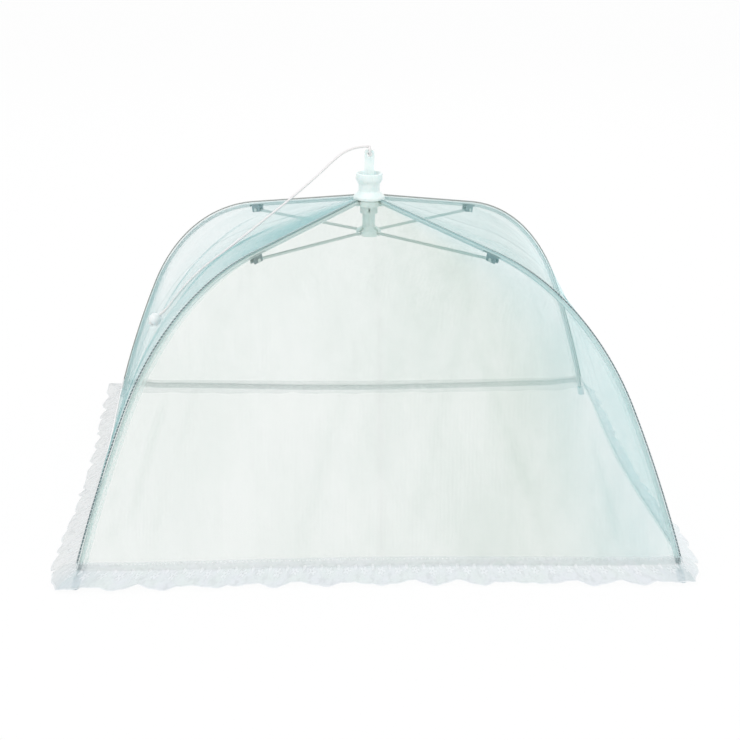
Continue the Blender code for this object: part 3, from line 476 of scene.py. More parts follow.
def thread_look(name, dark, light, twist=1.6, lines=3.0, top=None):
    """Twisted or braided thread: UV runs round it in turns and along it in metres. Its colour is darker in
    the grooves between strands, a painted shade. top is a painted light, its paler colour near the crown,
    down to where the clips hold."""
    look = Look(name, light, 0.75, Sheen_Weight=0.3, Sheen_Roughness=0.4)
    around, along = look.parts(look.place((1.0, 1000.0, 1.0), "UV"))
    strands = []
    for way in (1.0, -1.0):
        phase = look.plus(look.times(around, lines * 2 * pi),
                          look.times(along, way * 2 * pi / twist))
        strands.append(look.math("SINE", phase))
    braid = look.most(strands[0], strands[1])
    fuzz = look.noise(look.place(1.0), 3200.0, 3.0)
    lift = look.plus(braid, look.times(fuzz, 0.4))
    # Painted shade: darker in the grooves between the strands.
    shade = look.mix(look.spread(lift, -0.3, 1.0), dark, light)
    # Painted light: a paler colour near the crown.
    if top:
        shade = look.mix(look.spread(along, 95.0, 165.0), top, shade)
    look.paint(shade)
    look.bump(lift, 0.6, 0.0002)
    return look.material


LOOKS = {
    "white_plastic": plastic_look("milky_plastic", (0.74, 0.85, 0.84), (0.82, 0.89, 0.88)),
    "dark_wire": wire_look("lacquered_wire", (0.17, 0.21, 0.21), (0.36, 0.38, 0.38), (1.0, 1.0, 0.3),
                           0.3, 0.8),
    "grey_steel": wire_look("rolled_steel", (0.60, 0.65, 0.64), (0.78, 0.78, 0.76), (0.2, 0.2, 1.0),
                            0.7, 0.9),
    "dark_clip": wire_look("pressed_clip", (0.20, 0.24, 0.27), (0.46, 0.49, 0.5), (1.0, 1.0, 1.0),
                           0.5, 1.0),
    "foot_plastic": plastic_look("foot_plastic", (0.76, 0.86, 0.9), (0.86, 0.92, 0.95), False),
    "white_bead": plastic_look("glossy_bead", (0.74, 0.78, 0.79), (0.84, 0.86, 0.87), False),
    # The front tulle's ramps are a painted shade: it grows denser, and so darker, towards the right.
    "net_front": net_look("tulle_front", (0.30, 0.45, 0.37), (0.41, 0.54, 0.46), 0.108,
                          ((-0.5, 0.85, 1.1, 2.15), (0.75, 1.0, 1.0, 0.75)), crease_shade=0.5,
                          end=(0.24, 0.50, 0.50)),
    "net_back": net_look("tulle_back", (0.50, 0.68, 0.65), (0.60, 0.75, 0.72), 0.03,
                         ((-0.8, 0.8, 0.8, 1.4),)),
    "net_left": net_look("tulle_left", (0.24, 0.50, 0.51), (0.36, 0.60, 0.61), 0.105,
                         ((-1.0, 0.3, 3.5, 1.2),), crease_shade=1.5, crown=(40.0, 120.0, 2.0, 1.0),
                         foot=(150.0, 230.0, 0.0, 3.4)),
    # The right tulle's third colour is a painted shade over its flatter top.
    "net_right": net_look("tulle_right", (0.36, 0.82, 0.86), (0.46, 0.90, 0.93), 0.135,
                          ((-1.0, 1.0, 1.1, 0.9),), (0.28, 0.52, 0.51), crown=(80.0, 210.0, 2.0, 1.0),
                          thin=0.75),
    # The front hem band is a paler copy of the hem: painted light.
    "hem_front": hem_look("hem_band_front", 0.5, (0.82, 0.90, 0.92), (0.90, 0.94, 0.97)),
    "hem_right": hem_look("hem_band_right", 0.3),
    "hem_back": hem_look("hem_band_back", 1.0),
    "hem_left": hem_look("hem_band_left", 1.0),
    "tape_right": tape_look("casing_tape"),
    "tape_left": tape_look("casing_tape_left", openwork=0.9),
    # The back ribs' tape is a near-white copy: painted light against the shade inside the cover.
    "tape_back": tape_look("casing_tape_back", beside=(0.94, 0.99, 0.99)),
    # The front lace is a darker copy of the lace: painted shade.
    "lace_front": lace_look("white_lace_front", 1.0, ((0.56, 0.66, 0.65), (0.64, 0.68, 0.73)),
                            heading=0.55),
    "lace_left": lace_look("white_lace_left", 0.95, ((0.65, 0.67, 0.66), (0.71, 0.71, 0.72)), 0.5),
    "lace_back": lace_look("white_lace_back", 0.3, ((0.62, 0.71, 0.70), (0.70, 0.72, 0.78))),
    "lace_right": lace_look("white_lace_right", 0.72, ((0.64, 0.78, 0.81), (0.72, 0.78, 0.84)),
                            0.35, 0.25),
    "grey_cord": thread_look("braided_cord", (0.68, 0.66, 0.66), (0.86, 0.84, 0.84)),
    # The seam cord's paler top near the crown is a painted light.
    "seam_core": thread_look("seam_core", (0.07, 0.10, 0.11), (0.16, 0.23, 0.24), 1.1, 2.0,
                             (0.36, 0.5, 0.5)),
    # The back ribs' seam cord is a paler copy: painted light against the shade inside the cover.
    "seam_pale": thread_look("seam_core_back", (0.28, 0.28, 0.26), (0.4, 0.4, 0.37), 1.1, 2.0),
    "sleeve_front": tape_sleeve_look("casing_sleeve", (0.60, 0.79, 0.81), (0.72, 0.87, 0.89),
                                     (0.80, 0.92, 0.93)),
    # The back ribs' sleeve is a paler copy: painted light against the shade inside the cover.
    "sleeve_back": tape_sleeve_look("casing_sleeve_back", (0.86, 0.95, 0.95), (0.93, 0.98, 0.98),
                                    (0.95, 1.0, 1.0)),
    "seam_stitch": thread_look("seam_stitch", (0.5, 0.6, 0.62), (0.8, 0.86, 0.87), 0.7, 2.0),
}


# Mesh helpers
def mesh_piece(name, points, faces, look, flat=None):
    mesh = bpy.data.meshes.new(name)
    mesh.from_pydata([tuple(p) for p in points], [], faces)
    if flat is not None:
        layer = mesh.uv_layers.new(name="flat")
        corner_points = np.zeros(len(mesh.loops), np.int32)
        mesh.loops.foreach_get("vertex_index", corner_points)
        layer.data.foreach_set("uv", np.asarray(flat, np.float32)[corner_points].ravel())
    mesh.polygons.foreach_set("use_smooth", [True] * len(mesh.polygons))
    mesh.update()
    mesh.materials.append(LOOKS[look])
    return new_object(name, mesh)


def grid_faces(rows, columns, start=0):
    faces = []
    for i in range(rows - 1):
        for j in range(columns - 1):
            a = start + i * columns + j
            faces.append((a, a + 1, a + columns + 1, a + columns))
    return faces


def point_values(item, name, values):
    layer = item.data.attributes.new(name, "FLOAT", "POINT")
    layer.data.foreach_set("value", np.asarray(values, np.float32))


def track_frames(track):
    """Steady cross directions along a line of points, without twist."""
    track = [Vector(p) for p in track]
    frames = []
    side = None
    for k, point in enumerate(track):
        ahead = (track[min(k + 1, len(track) - 1)] - track[max(k - 1, 0)]).normalized()
        if side is None:
            side = ahead.orthogonal().normalized()
        side = (side - ahead * side.dot(ahead)).normalized()
        frames.append((point, side, ahead.cross(side)))
    return frames


def tube_piece(name, tracks, radius, steps, look):
    """A closed tube along each track; its flat places are the share of a turn and the run in metres."""
    points, faces, flat = [], [], []
    for track in tracks:
        start, run = len(points), 0.0
        frames = track_frames(track)
        for k, (centre, side, over) in enumerate(frames):
            if k:
                run += (centre - frames[k - 1][0]).length
            for i in range(steps + 1):
                turn = 2 * pi * i / steps
                points.append(centre + radius * (cos(turn) * side + sin(turn) * over))
                flat.append((i / steps, run))
        faces += grid_faces(len(frames), steps + 1, start)
        faces.append(tuple(start + i for i in reversed(range(steps))))
        last = start + (len(frames) - 1) * (steps + 1)
        faces.append(tuple(last + i for i in range(steps)))
    item = mesh_piece(name, points, faces, look, flat)
    weld(item, 0.00001)
    return item


def weld(item, distance):
    step = item.modifiers.new("weld", "WELD")
    step.merge_threshold = distance


# Rib curve: straight arm, shoulder arc, leg arc
def solve_arcs():
    start_z = PIVOT_Z - tan(ARM_SLOPE) * (SHOULDER_START_R - PIVOT_R)
    a = sin(SHOULDER_SLOPE) - sin(ARM_SLOPE)
    b = sin(FOOT_SLOPE) - sin(SHOULDER_SLOPE)
    c = cos(ARM_SLOPE) - cos(SHOULDER_SLOPE)
    d = cos(SHOULDER_SLOPE) - cos(FOOT_SLOPE)
    across = FOOT_R - SHOULDER_START_R
    scale = a * d - b * c
    return start_z, (across * d - b * start_z) / scale, (a * start_z - across * c) / scale


SHOULDER_START_Z, SHOULDER_R, LEG_R = solve_arcs()
ARM_LENGTH = (SHOULDER_START_R - PIVOT_R) / cos(ARM_SLOPE)
SHOULDER_LENGTH = SHOULDER_R * (SHOULDER_SLOPE - ARM_SLOPE)
LEG_LENGTH = LEG_R * (FOOT_SLOPE - SHOULDER_SLOPE)
RIB_LENGTH = ARM_LENGTH + SHOULDER_LENGTH + LEG_LENGTH


def arc_point(r, z, start, radius, slope):
    return (r + radius * (sin(slope) - sin(start)),
            z - radius * (cos(start) - cos(slope)), slope)


def rib_point(length):
    """Radius, height and slope of the rib's line at a length from the pivot."""
    if length <= ARM_LENGTH:
        return PIVOT_R + length * cos(ARM_SLOPE), PIVOT_Z - length * sin(ARM_SLOPE), ARM_SLOPE
    length -= ARM_LENGTH
    if length <= SHOULDER_LENGTH:
        slope = ARM_SLOPE + length / SHOULDER_R
        return arc_point(SHOULDER_START_R, SHOULDER_START_Z, ARM_SLOPE, SHOULDER_R, slope)
    r, z, slope = arc_point(SHOULDER_START_R, SHOULDER_START_Z, ARM_SLOPE, SHOULDER_R, SHOULDER_SLOPE)
    length -= SHOULDER_LENGTH
    return arc_point(r, z, slope, LEG_R, slope + length / LEG_R)


def find_length(test):
    low, high = 0.0, RIB_LENGTH
    for _ in range(50):
        middle = (low + high) / 2
        low, high = (middle, high) if test(middle) else (low, middle)
    return low


def length_at_height(height):
    return find_length(lambda length: rib_point(length)[1] > height)


def length_at_radius(radius):
    return find_length(lambda length: rib_point(length)[0] < radius)


def crease(length, lift):
    """Distance of the crease over a rib from the middle planes, its height, the roof's steepness there, and
    the length of its slope for one unit across."""
    r, z, slope = rib_point(length)
    steep = sqrt(2) * tan(slope)
    size = sqrt(1 + steep * steep)
    return r / sqrt(2) + lift * steep / size, z + lift / size, steep, size


def side_of(leaf):
    """The way from the gore's middle line to the leaf's own rib, -1 or 1."""
    corner, runs_x = LEAVES[leaf]
    return CORNERS[corner][0 if runs_x else 1]


def crease_point(corner, length, lift):
    side_x, side_y = CORNERS[corner]
    across, height, _, _ = crease(length, lift)
    return Vector((side_x * across, side_y * across, height))


def developed(length):
    """Distance down the gore's own slope, which is straight across the rib's diagonal plane."""
    steps = 160
    total = 0.0
    before = crease(0.0, NET_LIFT)
    for k in range(1, steps + 1):
        here = crease(length * k / steps, NET_LIFT)
        total += hypot(here[0] - before[0], here[1] - before[1])
        before = here
    return total


def swap(leaf, along, out, height):
    """The point that lies along the hem and out from the middle, on the leaf's own side of the cover."""
    corner, runs_x = LEAVES[leaf]
    side_x, side_y = CORNERS[corner]
    if runs_x:
        return Vector((side_x * along, side_y * out, height))
    return Vector((side_x * out, side_y * along, height))


# Long soft creases of each gore, in flat millimetres: start, end, half width, height
FOLDS = {
    "front": ((-176, 300, -150, 205, 4.0, 0.9), (-163, 312, -128, 196, 2.6, -0.6),
              (-190, 330, -186, 250, 3.0, 0.6), (172, 322, 150, 232, 4.0, 0.8),
              (120, 318, 60, 150, 9.0, 0.5), (-60, 330, -20, 180, 10.0, 0.5), (20, 320, 70, 120, 8.0, 0.4)),
    "right": ((-150, 320, -120, 220, 4.0, 0.8), (90, 326, 50, 160, 7.0, 0.6),
              (170, 318, 140, 230, 3.0, 0.7)),
    "back": ((-140, 322, -90, 180, 6.0, 0.7), (60, 320, 100, 150, 8.0, 0.6),
             (178, 326, 168, 240, 3.0, 0.6)),
    "left": ((38, 80, -62, 190, 3.6, 1.2), (-16, 66, -104, 160, 3.6, 1.2), (-100, 150, -160, 300, 7.0, 1.0),
             (-70, 318, -56, 186, 8.0, 0.6), (118, 150, 158, 296, 3.5, 0.5)),
}
# Share of the sag, drop of the lower edge in metres, and the unevenness's start of each gore
SAGS = {"front": 1.0, "right": 1.0, "back": 1.0, "left": 0.35}
DROPS = {"front": 0.001, "right": 0.001, "back": 0.006, "left": 0.001}
SEEDS = {"front": 3.0, "right": 11.0, "back": 23.0, "left": 37.0}


def fold_height(gore, u, v):
    """Height in millimetres of the gore's creases at a flat place, and how sharp they are there."""
    height, sharp = 0.0, 0.0
    for u0, v0, u1, v1, width, rise in FOLDS[gore]:
        du, dv = u1 - u0, v1 - v0
        size = hypot(du, dv)
        share = ((u - u0) * du + (v - v0) * dv) / (size * size)
        fade = max(0.0, 1 - abs(2 * share - 1) ** 3) if 0 <= share <= 1 else 0.0
        away = ((u - u0) * dv - (v - v0) * du) / size / width
        ridge = exp(-away * away)
        height += rise * fade * ridge
        sharp += abs(rise) * fade * ridge * (1 - min(1.0, abs(away)))
    height += 0.5 * ripple(u / 42, v / 75, SEEDS[gore])
    height += 0.22 * ripple(u / 14, v / 40, SEEDS[gore] + 5)
    return height, sharp


DEVELOPED = {}


def flat_down(length):
    key = round(length, 6)
    if key not in DEVELOPED:
        DEVELOPED[key] = developed(length)
    return DEVELOPED[key]


def gore_of(leaf):
    return leaf.split("_")[0]


def hang_lower(leaf, height, share):
    """The gore's lower edge hangs a little below the line between its two feet."""
    near = max(0.0, 1 - height / 0.06)
    return height - DROPS[gore_of(leaf)] * near * near * min(1.0, share * 7)


def net_place(leaf, length, lift, share, folds=True):
    """A point of the net, its flat place in metres and how sharply it is creased; share 0 is on the rib and
    1 on the gore's middle line."""
    across, height, steep, size = crease(length, lift)
    ramp = min(1.0, max(0.0, (across - SAG_START) / SAG_RAMP))
    sag = SAG_SHARE * SAGS[gore_of(leaf)] * 2 * across * ramp * sin(pi * share / 2) ** 2
    along = across * (1 - share)
    u, v = side_of(leaf) * along, flat_down(length)
    sharp = 0.0
    if folds:
        rise, sharp = fold_height(gore_of(leaf), 1000 * u, 1000 * v)
        from_rib = min(1.0, share * across / 0.02)
        from_top = min(1.0, max(0.0, (across - 0.02) / 0.05))
        sag -= 0.001 * rise * from_rib * from_top
    point = swap(leaf, along, across - sag * steep / size, hang_lower(leaf, height - sag / size, share))
    return point, (u, v), sharp


def follow(item, shares):
    """Bakes the piece's place into its points and clips its shares to 0 to 1, which nothing uses after."""
    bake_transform(item)
    shares = np.clip(np.asarray(shares, float), 0, 1)


def turned(leaf):
    """Whether the leaf's rows and columns already make faces that look outward."""
    corner, runs_x = LEAVES[leaf]
    side_x, side_y = CORNERS[corner]
    return (side_x * side_y > 0) == runs_x


def cloth_grid(name, leaf, rows, shares, look):
    """Rows of cells, each with a point and its flat place first, made into one sheet of a half gore."""
    points = [cell[0] for row in rows for cell in row]
    flat = [cell[1] for row in rows for cell in row]
    faces = grid_faces(len(rows), len(rows[0]))
    if not turned(leaf):
        faces = [tuple(reversed(face)) for face in faces]
    return mesh_piece(name, points, faces, look, flat), [s for _ in rows for s in shares]


NET_SHARES = [0.0, 0.012, 0.03, 0.06] + [0.06 + 0.94 * (k + 1) / 34 for k in range(34)]
HEM_SHARES = [k / 60 for k in range(61)]


def make_net(leaf):
    hem_length = length_at_height(NET_END_Z + 0.0005)
    first = length_at_radius(0.019)
    rows = []
    for k in range(4):
        row = []
        for share in NET_SHARES:
            def inside(length):
                place = net_place(leaf, length, NET_LIFT, share, False)[0]
                return hypot(place.x, place.y) < NET_TOP_R
            start = find_length(inside)
            row.append(net_place(leaf, start + (first - start) * k / 4, NET_LIFT, share))
        rows.append(row)
    count = 96
    for k in range(count + 1):
        length = first + (hem_length - first) * k / count
        rows.append([net_place(leaf, length, NET_LIFT, share) for share in NET_SHARES])
    item, shares = cloth_grid("net_" + leaf, leaf, rows, NET_SHARES, "net_" + gore_of(leaf))
    point_values(item, "fold", [cell[2] for row in rows for cell in row])
    point_values(item, "span", [side_of(leaf) * (1 - share) for share in shares])
    thread = item.modifiers.new("thread", "SOLIDIFY")
    thread.thickness = NET_THREAD
    thread.offset = -1
    return item, shares


def make_hem(leaf):
    """The folded band along the net's lower edge, a closed loop of cloth seen from the side."""
    low, high = length_at_height(NET_END_Z), length_at_height(HEM_HIGH_Z)
    rows = []
    profile = []
    for start, end, lift, swell in ((high, low, 0.00035, 0.0004), (low, high, -0.0001, -0.0002)):
        profile += [(start + (end - start) * k / 8, lift + swell * sin(pi * k / 8)) for k in range(9)]
    run = 0.0
    for k, (length, lift) in enumerate(profile):
        if k:
            run += abs(length - profile[k - 1][0])
        row = []
        for share in HEM_SHARES:
            point, (u, _), _ = net_place(leaf, length, NET_OUTER_LIFT, share)
            pucker = 0.00022 * sin(u * 1000 * 0.9 + 2.2 * ripple(u * 60, 0, 4.0))
            over = net_place(leaf, length, NET_OUTER_LIFT + 0.001, share)[0] - point
            row.append((point + over.normalized() * (lift + pucker * (0.5 if k < 9 else 0.1)), (u, run)))
        rows.append(row)
    return cloth_grid("hem_" + leaf, leaf, rows, HEM_SHARES, "hem_" + gore_of(leaf))


LACE_SHARES = [k / 168 for k in range(169)]
# How far the lace of each half gore stands out, in millimetres, from its corner (0) to the middle line (1)
OUTS = {
    "front_left": ((0, 6.8), (0.06, 10.0), (1, 10.0)),
    "front_right": ((0, 5.0), (0.06, 10.0), (1, 10.0)),
    "right_front": ((0, 8.0), (0.06, 13.0), (0.16, 18.5), (0.4, 20.0), (0.6, 17.5), (1, 15.0)),
    "right_back": ((0, 9.0), (0.06, 12.0), (0.5, 13.0), (1, 15.0)),
    "back_right": ((0, 6.0), (0.06, 9.0), (1, 9.0)),
    "back_left": ((0, 6.0), (0.06, 9.0), (1, 9.0)),
    "left_back": ((0, 13.0), (0.08, 14.5), (0.41, 15.0), (0.56, 13.5), (0.75, 13.5), (1, 15.0)),
    "left_front": ((0, 12.5), (0.05, 17.5), (0.14, 19.5), (0.34, 19.5), (0.5, 18.0), (0.65, 16.0),
                   (1, 15.0)),
}
# Depth of the ruffles of each gore, in metres
RUFFLES = {"front": 0.0018, "right": 0.0038, "back": 0.0018, "left": 0.003}


def out_at(leaf, share):
    return float(np.interp(share, *zip(*OUTS[leaf]))) / 1000


def rounded(value):
    """Rounded lobes with a notch between each two, 0 in the notches and 1 on the lobes."""
    part = value - floor(value)
    return 1 - (2 * part - 1) ** 2


def lace_place(leaf, length, out_share, share):
    """The lace hangs from the hem in ruffles; the flat place runs down to the scalloped edge."""
    across, height, _, _ = crease(length, LACE_LIFT)
    height = hang_lower(leaf, height, share)
    corner, gore = LEAVES[leaf][0], gore_of(leaf)
    neighbour = next(part for part in corner.split("_") if part != gore)
    beside = neighbour + "_" + gore
    u = side_of(leaf) * across * (1 - share) * 1000
    wave = (1 + cos(2 * pi * LOBES * share)) / 2
    ruffle = ripple(u / 40, SEEDS[gore], 0.5)
    drop = ripple(u / 15, SEEDS[gore], 7.5)
    fade = min(1.0, share * 14) * min(1.0, (1 - share) * 14)
    bump = rounded((u + 9.0 * ruffle) / 27.0) - 0.65
    scallop = rounded((u + 6.0) / 12.0)
    reach = out_share * (0.94 + 0.06 * scallop)
    curve = (out_share * (0.97 + 0.03 * scallop)) ** 0.9
    out = out_at(leaf, share) * (1 - fade * 0.1 * (1 - wave))
    out += fade * (RUFFLES[gore] * bump + 0.0008 * drop)
    low = LOBE_Z + (TUCK_Z - LOBE_Z) * (1 - wave) + fade * 0.0012 * (0.4 - bump + drop)
    if corner == "back_left":
        low += CURL_UP * max(0.0, 1 - share / 0.1) ** 2
    down = max(0.0011, height + (low - NET_END_Z) * reach)
    sag = SAG_SHARE * SAGS[gore] * 2 * across * sin(pi * share / 2) ** 2
    corner_out = across + out_at(beside, 0.0) * curve
    pleat = 0.0006 * fade * sin(pi * out_share) * sin(u * 0.6 + 5 * ruffle)
    point = swap(leaf, corner_out * (1 - share), across + out * curve + pleat - sag, down)
    return point, u / 1000, reach


def make_lace(leaf):
    top, end = length_at_height(LACE_TOP_Z), length_at_height(NET_END_Z)
    rows, edges = [], []
    for k in range(4):
        length = top + (end - top) * k / 4
        row = []
        for share in LACE_SHARES:
            point, u, _ = lace_place(leaf, length, 0.0, share)
            row.append((point, (u, LACE_HEADING * k / 4)))
            edges.append(20.0)
        rows.append(row)
    count = 15
    for k in range(count + 1):
        row = []
        for share in LACE_SHARES:
            point, u, reach = lace_place(leaf, end, k / count, share)
            row.append((point, (u, LACE_HEADING + LACE_FALL * reach)))
            edges.append(1000 * LACE_FALL * (1 - k / count))
        rows.append(row)
    item, shares = cloth_grid("lace_trim_" + leaf, leaf, rows, LACE_SHARES, "lace_" + gore_of(leaf))
    point_values(item, "edge", edges)
    front = LEAVES[leaf][0].startswith("front")
    # Painted shade towards each front corner, 1 at the corner and gone 13 % of the way to the middle.
    point_values(item, "corner_shade", [max(0.0, 1 - share / 0.13) if front else 0.0 for share in shares])
    return item, shares


def rib_lengths(first, last, step):
    count = max(2, round((last - first) / step))
    return [first + (last - first) * k / count for k in range(count + 1)]


def make_tape(corner):
    """A folded woven tape over the rib: both flanges lie under the net."""
    side_x, side_y = CORNERS[corner]
    first = length_at_radius(TAPE_START_R)
    lengths = rib_lengths(first, length_at_height(TAPE_END_Z), 0.003)
    offsets = [-0.006, -0.0045, -0.003, -0.0016, -0.0005, 0.0, 0.0005, 0.0016, 0.003, 0.0045, 0.006]
    points, flat = [], []
    run = 0.0
    for k, length in enumerate(lengths):
        middle = crease_point(corner, length, TAPE_LIFT)
        if k:
            run += (middle - before).length
        before = middle
        for j, offset in enumerate(offsets):
            wave = 0.0006 * ripple(run * 90, offset * 300, side_x + 3 * side_y)
            reach = abs(offset) + (wave if j in (0, len(offsets) - 1) else 0.0)
            move = Vector((-side_x * reach, 0, 0)) if offset < 0 else Vector((0, -side_y * reach, 0))
            points.append(middle + move)
            flat.append((offset, run))
    faces = grid_faces(len(lengths), len(offsets))
    if side_x * side_y > 0:
        faces = [tuple(reversed(face)) for face in faces]
    # The back ribs take the near-white tape, a painted light.
    look = {"front_left": "tape_left", "front_right": "tape_right"}.get(corner, "tape_back")
    return mesh_piece("casing_tape_" + corner, points, faces, look, flat), run


def make_sleeve(corner):
    """The casing tape's lower half, wrapped round the wire from below and open under the tape."""
    low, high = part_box("rib_clip_" + corner)
    reach = sorted(abs(value) * sqrt(2) for value in (low[0], high[0]))
    clip = [length_at_radius(r) for r in (reach[0] - 0.001, reach[1] + 0.001)]
    first = length_at_radius(SLEEVE_START_R)
    last = length_at_height(TAPE_END_Z)
    points, flat, faces = [], [], []
    turns = [radians(-125 + 250 * k / 16) for k in range(17)]
    for start, end in ((first, clip[0]), (clip[1], last)):
        lengths = rib_lengths(start, end, 0.003)
        base = len(points)
        for length in lengths:
            middle = crease_point(corner, length, 0.0)
            before, after = (crease_point(corner, length + step, 0.0) for step in (-0.0005, 0.0005))
            ahead = (after - before).normalized()
            across = ahead.cross(Vector((0, 0, 1))).normalized()
            under = across.cross(ahead).normalized() * -1
            for turn in turns:
                points.append(middle + SLEEVE_R * (sin(turn) * across + cos(turn) * under))
                flat.append((SLEEVE_R * turn, length))
        faces += grid_faces(len(lengths), len(turns), base)
    # The back ribs take the paler sleeve, a painted light.
    return mesh_piece("casing_sleeve_" + corner, points, faces, "sleeve_" + corner.split("_")[0], flat)


def make_seam(corner):
    """A dark cord along the rib's crease, whipped over with pale thread."""
    side_x, side_y = CORNERS[corner]
    first = length_at_radius(SEAM_START_R)
    last = length_at_height(SEAM_END_Z)
    track = [crease_point(corner, length, SEAM_LIFT) for length in rib_lengths(first, last, 0.004)]
    # The back ribs take the paler cord, a painted light.
    look = "seam_core" if side_y < 0 else "seam_pale"
    core = tube_piece("seam_cord_" + corner, [track], SEAM_R, 8, look)
    stitches = []
    for k, length in enumerate(rib_lengths(first + 0.002, last - 0.001, STITCH_PITCH)):
        before, after = (crease_point(corner, length + step, SEAM_LIFT) for step in (-0.001, 0.001))
        ahead = (after - before).normalized()
        middle = crease_point(corner, length, SEAM_LIFT)
        up = (crease_point(corner, length, SEAM_LIFT + 0.001) - middle).normalized()
        across = ahead.cross(up)
        lean = 0.0005 * (1 + 0.25 * ripple(k * 0.7, side_x, side_y))
        path = []
        for i in range(7):
            turn = radians(-100 + 200 * i / 6)
            place = middle + across * (0.00068 * sin(turn)) + up * (0.00064 * cos(turn))
            path.append(place + ahead * (lean * (i / 3 - 1)))
        stitches.append(path)
    whip = tube_piece("seam_stitches_" + corner, stitches, STITCH_R, 5, "seam_stitch")
    return core, whip


# Pull cord, its loop over the bar's eye, and the bead
CORD_TRACK = (
    (-1.1, -0.5, 273.9), (-6.5, -2.8, 274.0), (-11.9, -5.2, 273.5), (-17.3, -7.5, 272.0),
    (-22.9, -10.0, 269.2), (-29.1, -12.6, 264.5), (-35.8, -15.6, 258.8), (-43.3, -18.8, 252.6),
    (-51.4, -22.3, 246.2), (-59.6, -25.9, 239.9), (-67.9, -29.5, 233.6), (-76.2, -33.1, 227.6),
    (-84.4, -36.7, 221.7), (-92.3, -40.1, 216.0), (-100.0, -43.5, 210.6), (-107.4, -46.7, 205.3),
    (-114.2, -49.6, 200.6), (-119.4, -51.9, 197.2), (-124.0, -53.9, 194.0), (-129.0, -56.1, 190.2),
    (-133.9, -58.2, 186.0), (-138.8, -60.4, 181.4), (-143.7, -62.5, 176.2), (-148.9, -64.8, 170.0),
    (-153.6, -66.8, 164.3), (-156.7, -68.1, 161.3), (-159.5, -69.3, 159.1), (-163.0, -70.9, 156.0),
    (-166.6, -72.4, 152.8),
)
CORD_DIAMETER = 0.0018
BEAD_CENTRE = Vector((-0.16397, -0.07130, 0.15513))
BEAD_R = 0.0047
LOOP_R, LOOP_CENTRE_Z = 0.0032, 0.2707


def smooth_track(track, steps):
    track = [Vector(p) for p in track]
    chain = [2 * track[0] - track[1]] + track + [2 * track[-1] - track[-2]]
    result = []
    for k in range(1, len(chain) - 2):
        a, b, c, d = chain[k - 1:k + 3]
        for i in range(steps):
            t = i / steps
            bend = (2 * a - 5 * b + 4 * c - d) * t * t + (3 * b - a - 3 * c + d) * t ** 3
            result.append(b + ((c - a) * t + bend) / 2)
    result.append(track[-1])
    return result


def make_cord():
    path = [Vector(p) / 1000 for p in CORD_TRACK]
    fine = smooth_track(path, 5)
    length = sum((b - a).length for a, b in zip(fine, fine[1:]))
    cord = tube_piece("cord", [fine], CORD_DIAMETER / 2, 12, "grey_cord")
    lead = (path[-1] - path[-2]).normalized()
    rises = [radians(-66 + 132 * k / 24) for k in range(25)]
    profile = [(BEAD_R * cos(rise), BEAD_R * sin(rise)) for rise in rises]
    profile += [(0.00135, 0.0040), (0.00105, 0.0034), (0.00105, -0.0034), (0.00135, -0.0040)]
    side = lead.orthogonal().normalized()
    over = lead.cross(side)
    points, steps = [], 40
    for i in range(steps):
        turn = 2 * pi * i / steps
        out = cos(turn) * side + sin(turn) * over
        points += [BEAD_CENTRE + out * radius + lead * height for radius, height in profile]
    count = len(profile)
    faces = []
    for i in range(steps):
        here, there = i * count, (i + 1) % steps * count
        for j in range(count):
            k = (j + 1) % count
            faces.append((here + j, there + j, there + k, here + k))
    bead = mesh_piece("bead", points, faces, "white_bead")
    knot_track = []
    for k in range(49):
        turn = 2 * pi * 2 * k / 48
        radius = 0.0011 + 0.0003 * cos(turn * 1.5)
        knot_track.append(BEAD_CENTRE + lead * (0.0046 + 0.00035 * sin(turn * 1.5))
                          + radius * (cos(turn) * side + sin(turn) * over))
    knot = tube_piece("cord_knot", [knot_track], 0.0006, 8, "grey_cord")
    ring = []
    for k in range(65):
        turn = 2 * pi * k / 64
        swell = LOOP_R + 0.00005 * sin(3 * turn)
        ring.append(Vector((0.0002 * sin(2 * turn), swell * cos(turn),
                            LOOP_CENTRE_Z + swell * sin(turn))))
    loop = tube_piece("loop_over_bar", [ring], CORD_DIAMETER / 2, 10, "grey_cord")
    return cord, bead, knot, loop, path, length


cord, bead, knot, loop, cord_path, cord_length = make_cord()
for item, body in ((bead, "cord_bead"), (knot, "cord_bead"), (loop, "runner"), (cord, "pull_cord")):
    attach(item, body)
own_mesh(cord)
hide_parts("pull_cord")
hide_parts("cord_bead")
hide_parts("cord_loop")

# Net, hem and lace, half a gore at a time
for leaf in LEAVES:
    net, net_shares = make_net(leaf)
    hem, hem_shares = make_hem(leaf)
    lace, lace_shares = make_lace(leaf)
    follow(net, net_shares)
    follow(hem, hem_shares)
    follow(lace, lace_shares)
    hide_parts("gore_" + leaf)
    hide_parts("lace_" + leaf)

# Casing tapes and seams along the ribs
for corner in CORNERS:
    tape, tape_length = make_tape(corner)
    sleeve = make_sleeve(corner)
    core, whip = make_seam(corner)
    for item in (tape, sleeve, core, whip):
        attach(item, "rib_" + corner)
    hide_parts("rib_tape_" + corner)


# Finish of the hard nodes, whose shapes stay
def finish_node(name, look, width):
    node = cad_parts[name]
    for slot in node.material_slots:
        slot.material = LOOKS[look]
    weld(node, 0.000001)
    bevel = node.modifiers.new("soft_edges", "BEVEL")
    bevel.width = width
    bevel.segments = 2
    bevel.limit_method = "ANGLE"
    bevel.angle_limit = radians(35)
    bevel.use_clamp_overlap = True
    node.modifiers.new("even_light", "WEIGHTED_NORMAL")


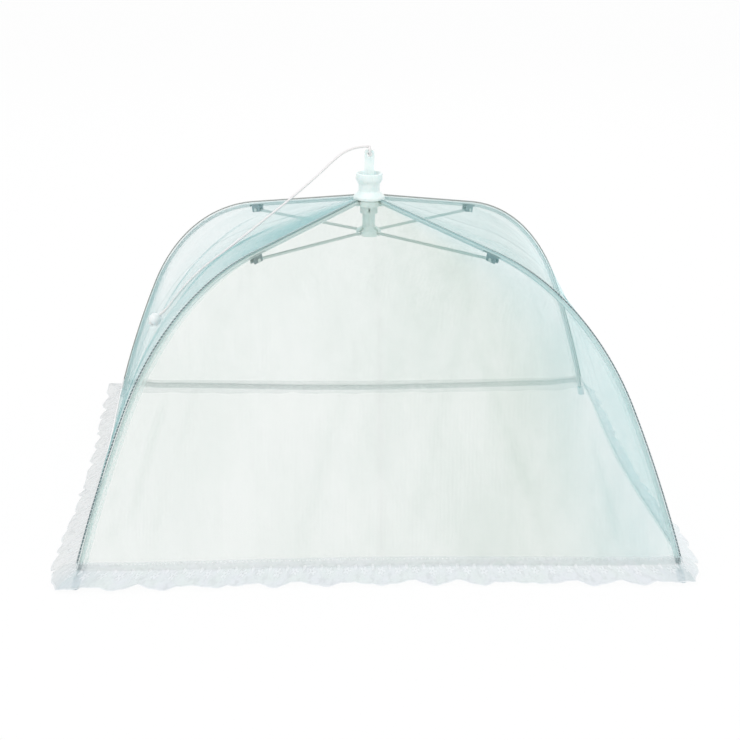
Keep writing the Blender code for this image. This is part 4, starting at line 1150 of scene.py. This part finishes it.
for name in ("crown_cap", "crown_hub", "runner", "post"):
    finish_node(name, "white_plastic", 0.00022)
finish_node("crown_ring", "grey_steel", 0.00002)
for part, look, width in (
    ("rib_", "dark_wire", 0.00006),
    ("rib_clip_", "dark_clip", 0.00015),
    ("clip_rivet_", "grey_steel", 0.00012),
    ("stretcher_", "grey_steel", 0.0001),
    ("foot_cap_", "foot_plastic", 0.00022),
):
    for corner in CORNERS:
        finish_node(part + corner, look, width)


# Floor and light
WHITE = (1.0, 1.0, 1.0, 1.0)


def make_floor():
    """A pale floor that keeps the shadow, and through which the camera sees the white world and the folded
    cover's lower end."""
    size = 6.0
    mesh = bpy.data.meshes.new("floor")
    mesh.from_pydata([(-size, -size, 0), (size, -size, 0), (size, size, 0), (-size, size, 0)], [],
                     [(0, 1, 2, 3)])
    ground = new_object("floor", mesh)
    ground.location.z = -0.0002
    look = Look("floor", (0.9, 0.9, 0.9), 0.9, Specular_IOR_Level=0.1)
    share = look.times(look.seen_directly(), 0.95)
    clear = look.add("ShaderNodeBsdfTransparent", 0)
    mixed = look.add("ShaderNodeMixShader", 0, _0=share, _1=look.shader.outputs[0], _2=clear)
    look.set(look.tree.nodes["Material Output"], 0, mixed)
    mesh.materials.append(look.material)


def make_light():
    world = bpy.data.worlds.new("studio")
    bpy.context.scene.world = world
    nodes = Nodes(world)
    soft = nodes.tree.nodes["Background"]
    nodes.set(soft, 0, WHITE)
    nodes.set(soft, 1, 0.8)
    white = nodes.add("ShaderNodeBackground", 0, Color=WHITE, Strength=1.0)
    mixed = nodes.add("ShaderNodeMixShader", 0, _0=nodes.seen_directly(), _1=soft.outputs[0], _2=white)
    nodes.set(nodes.tree.nodes["World Output"], 0, mixed)
    for name, place, power, size in (
        ("key", (-1.0, -1.2, 1.7), 16.0, 1.4),
        ("fill", (1.5, -0.9, 1.1), 7.0, 1.6),
        ("back", (0.3, 1.6, 1.5), 8.0, 1.4),
    ):
        data = bpy.data.lights.new(name, "AREA")
        data.energy = power
        data.size = size
        lamp = new_object(name, data)
        lamp.location = place
        lamp.rotation_euler = (Vector((0, 0, 0.1)) - Vector(place)).to_track_quat("-Z", "Y").to_euler()


make_floor()
make_light()
bpy.context.scene.view_settings.view_transform = "Standard"
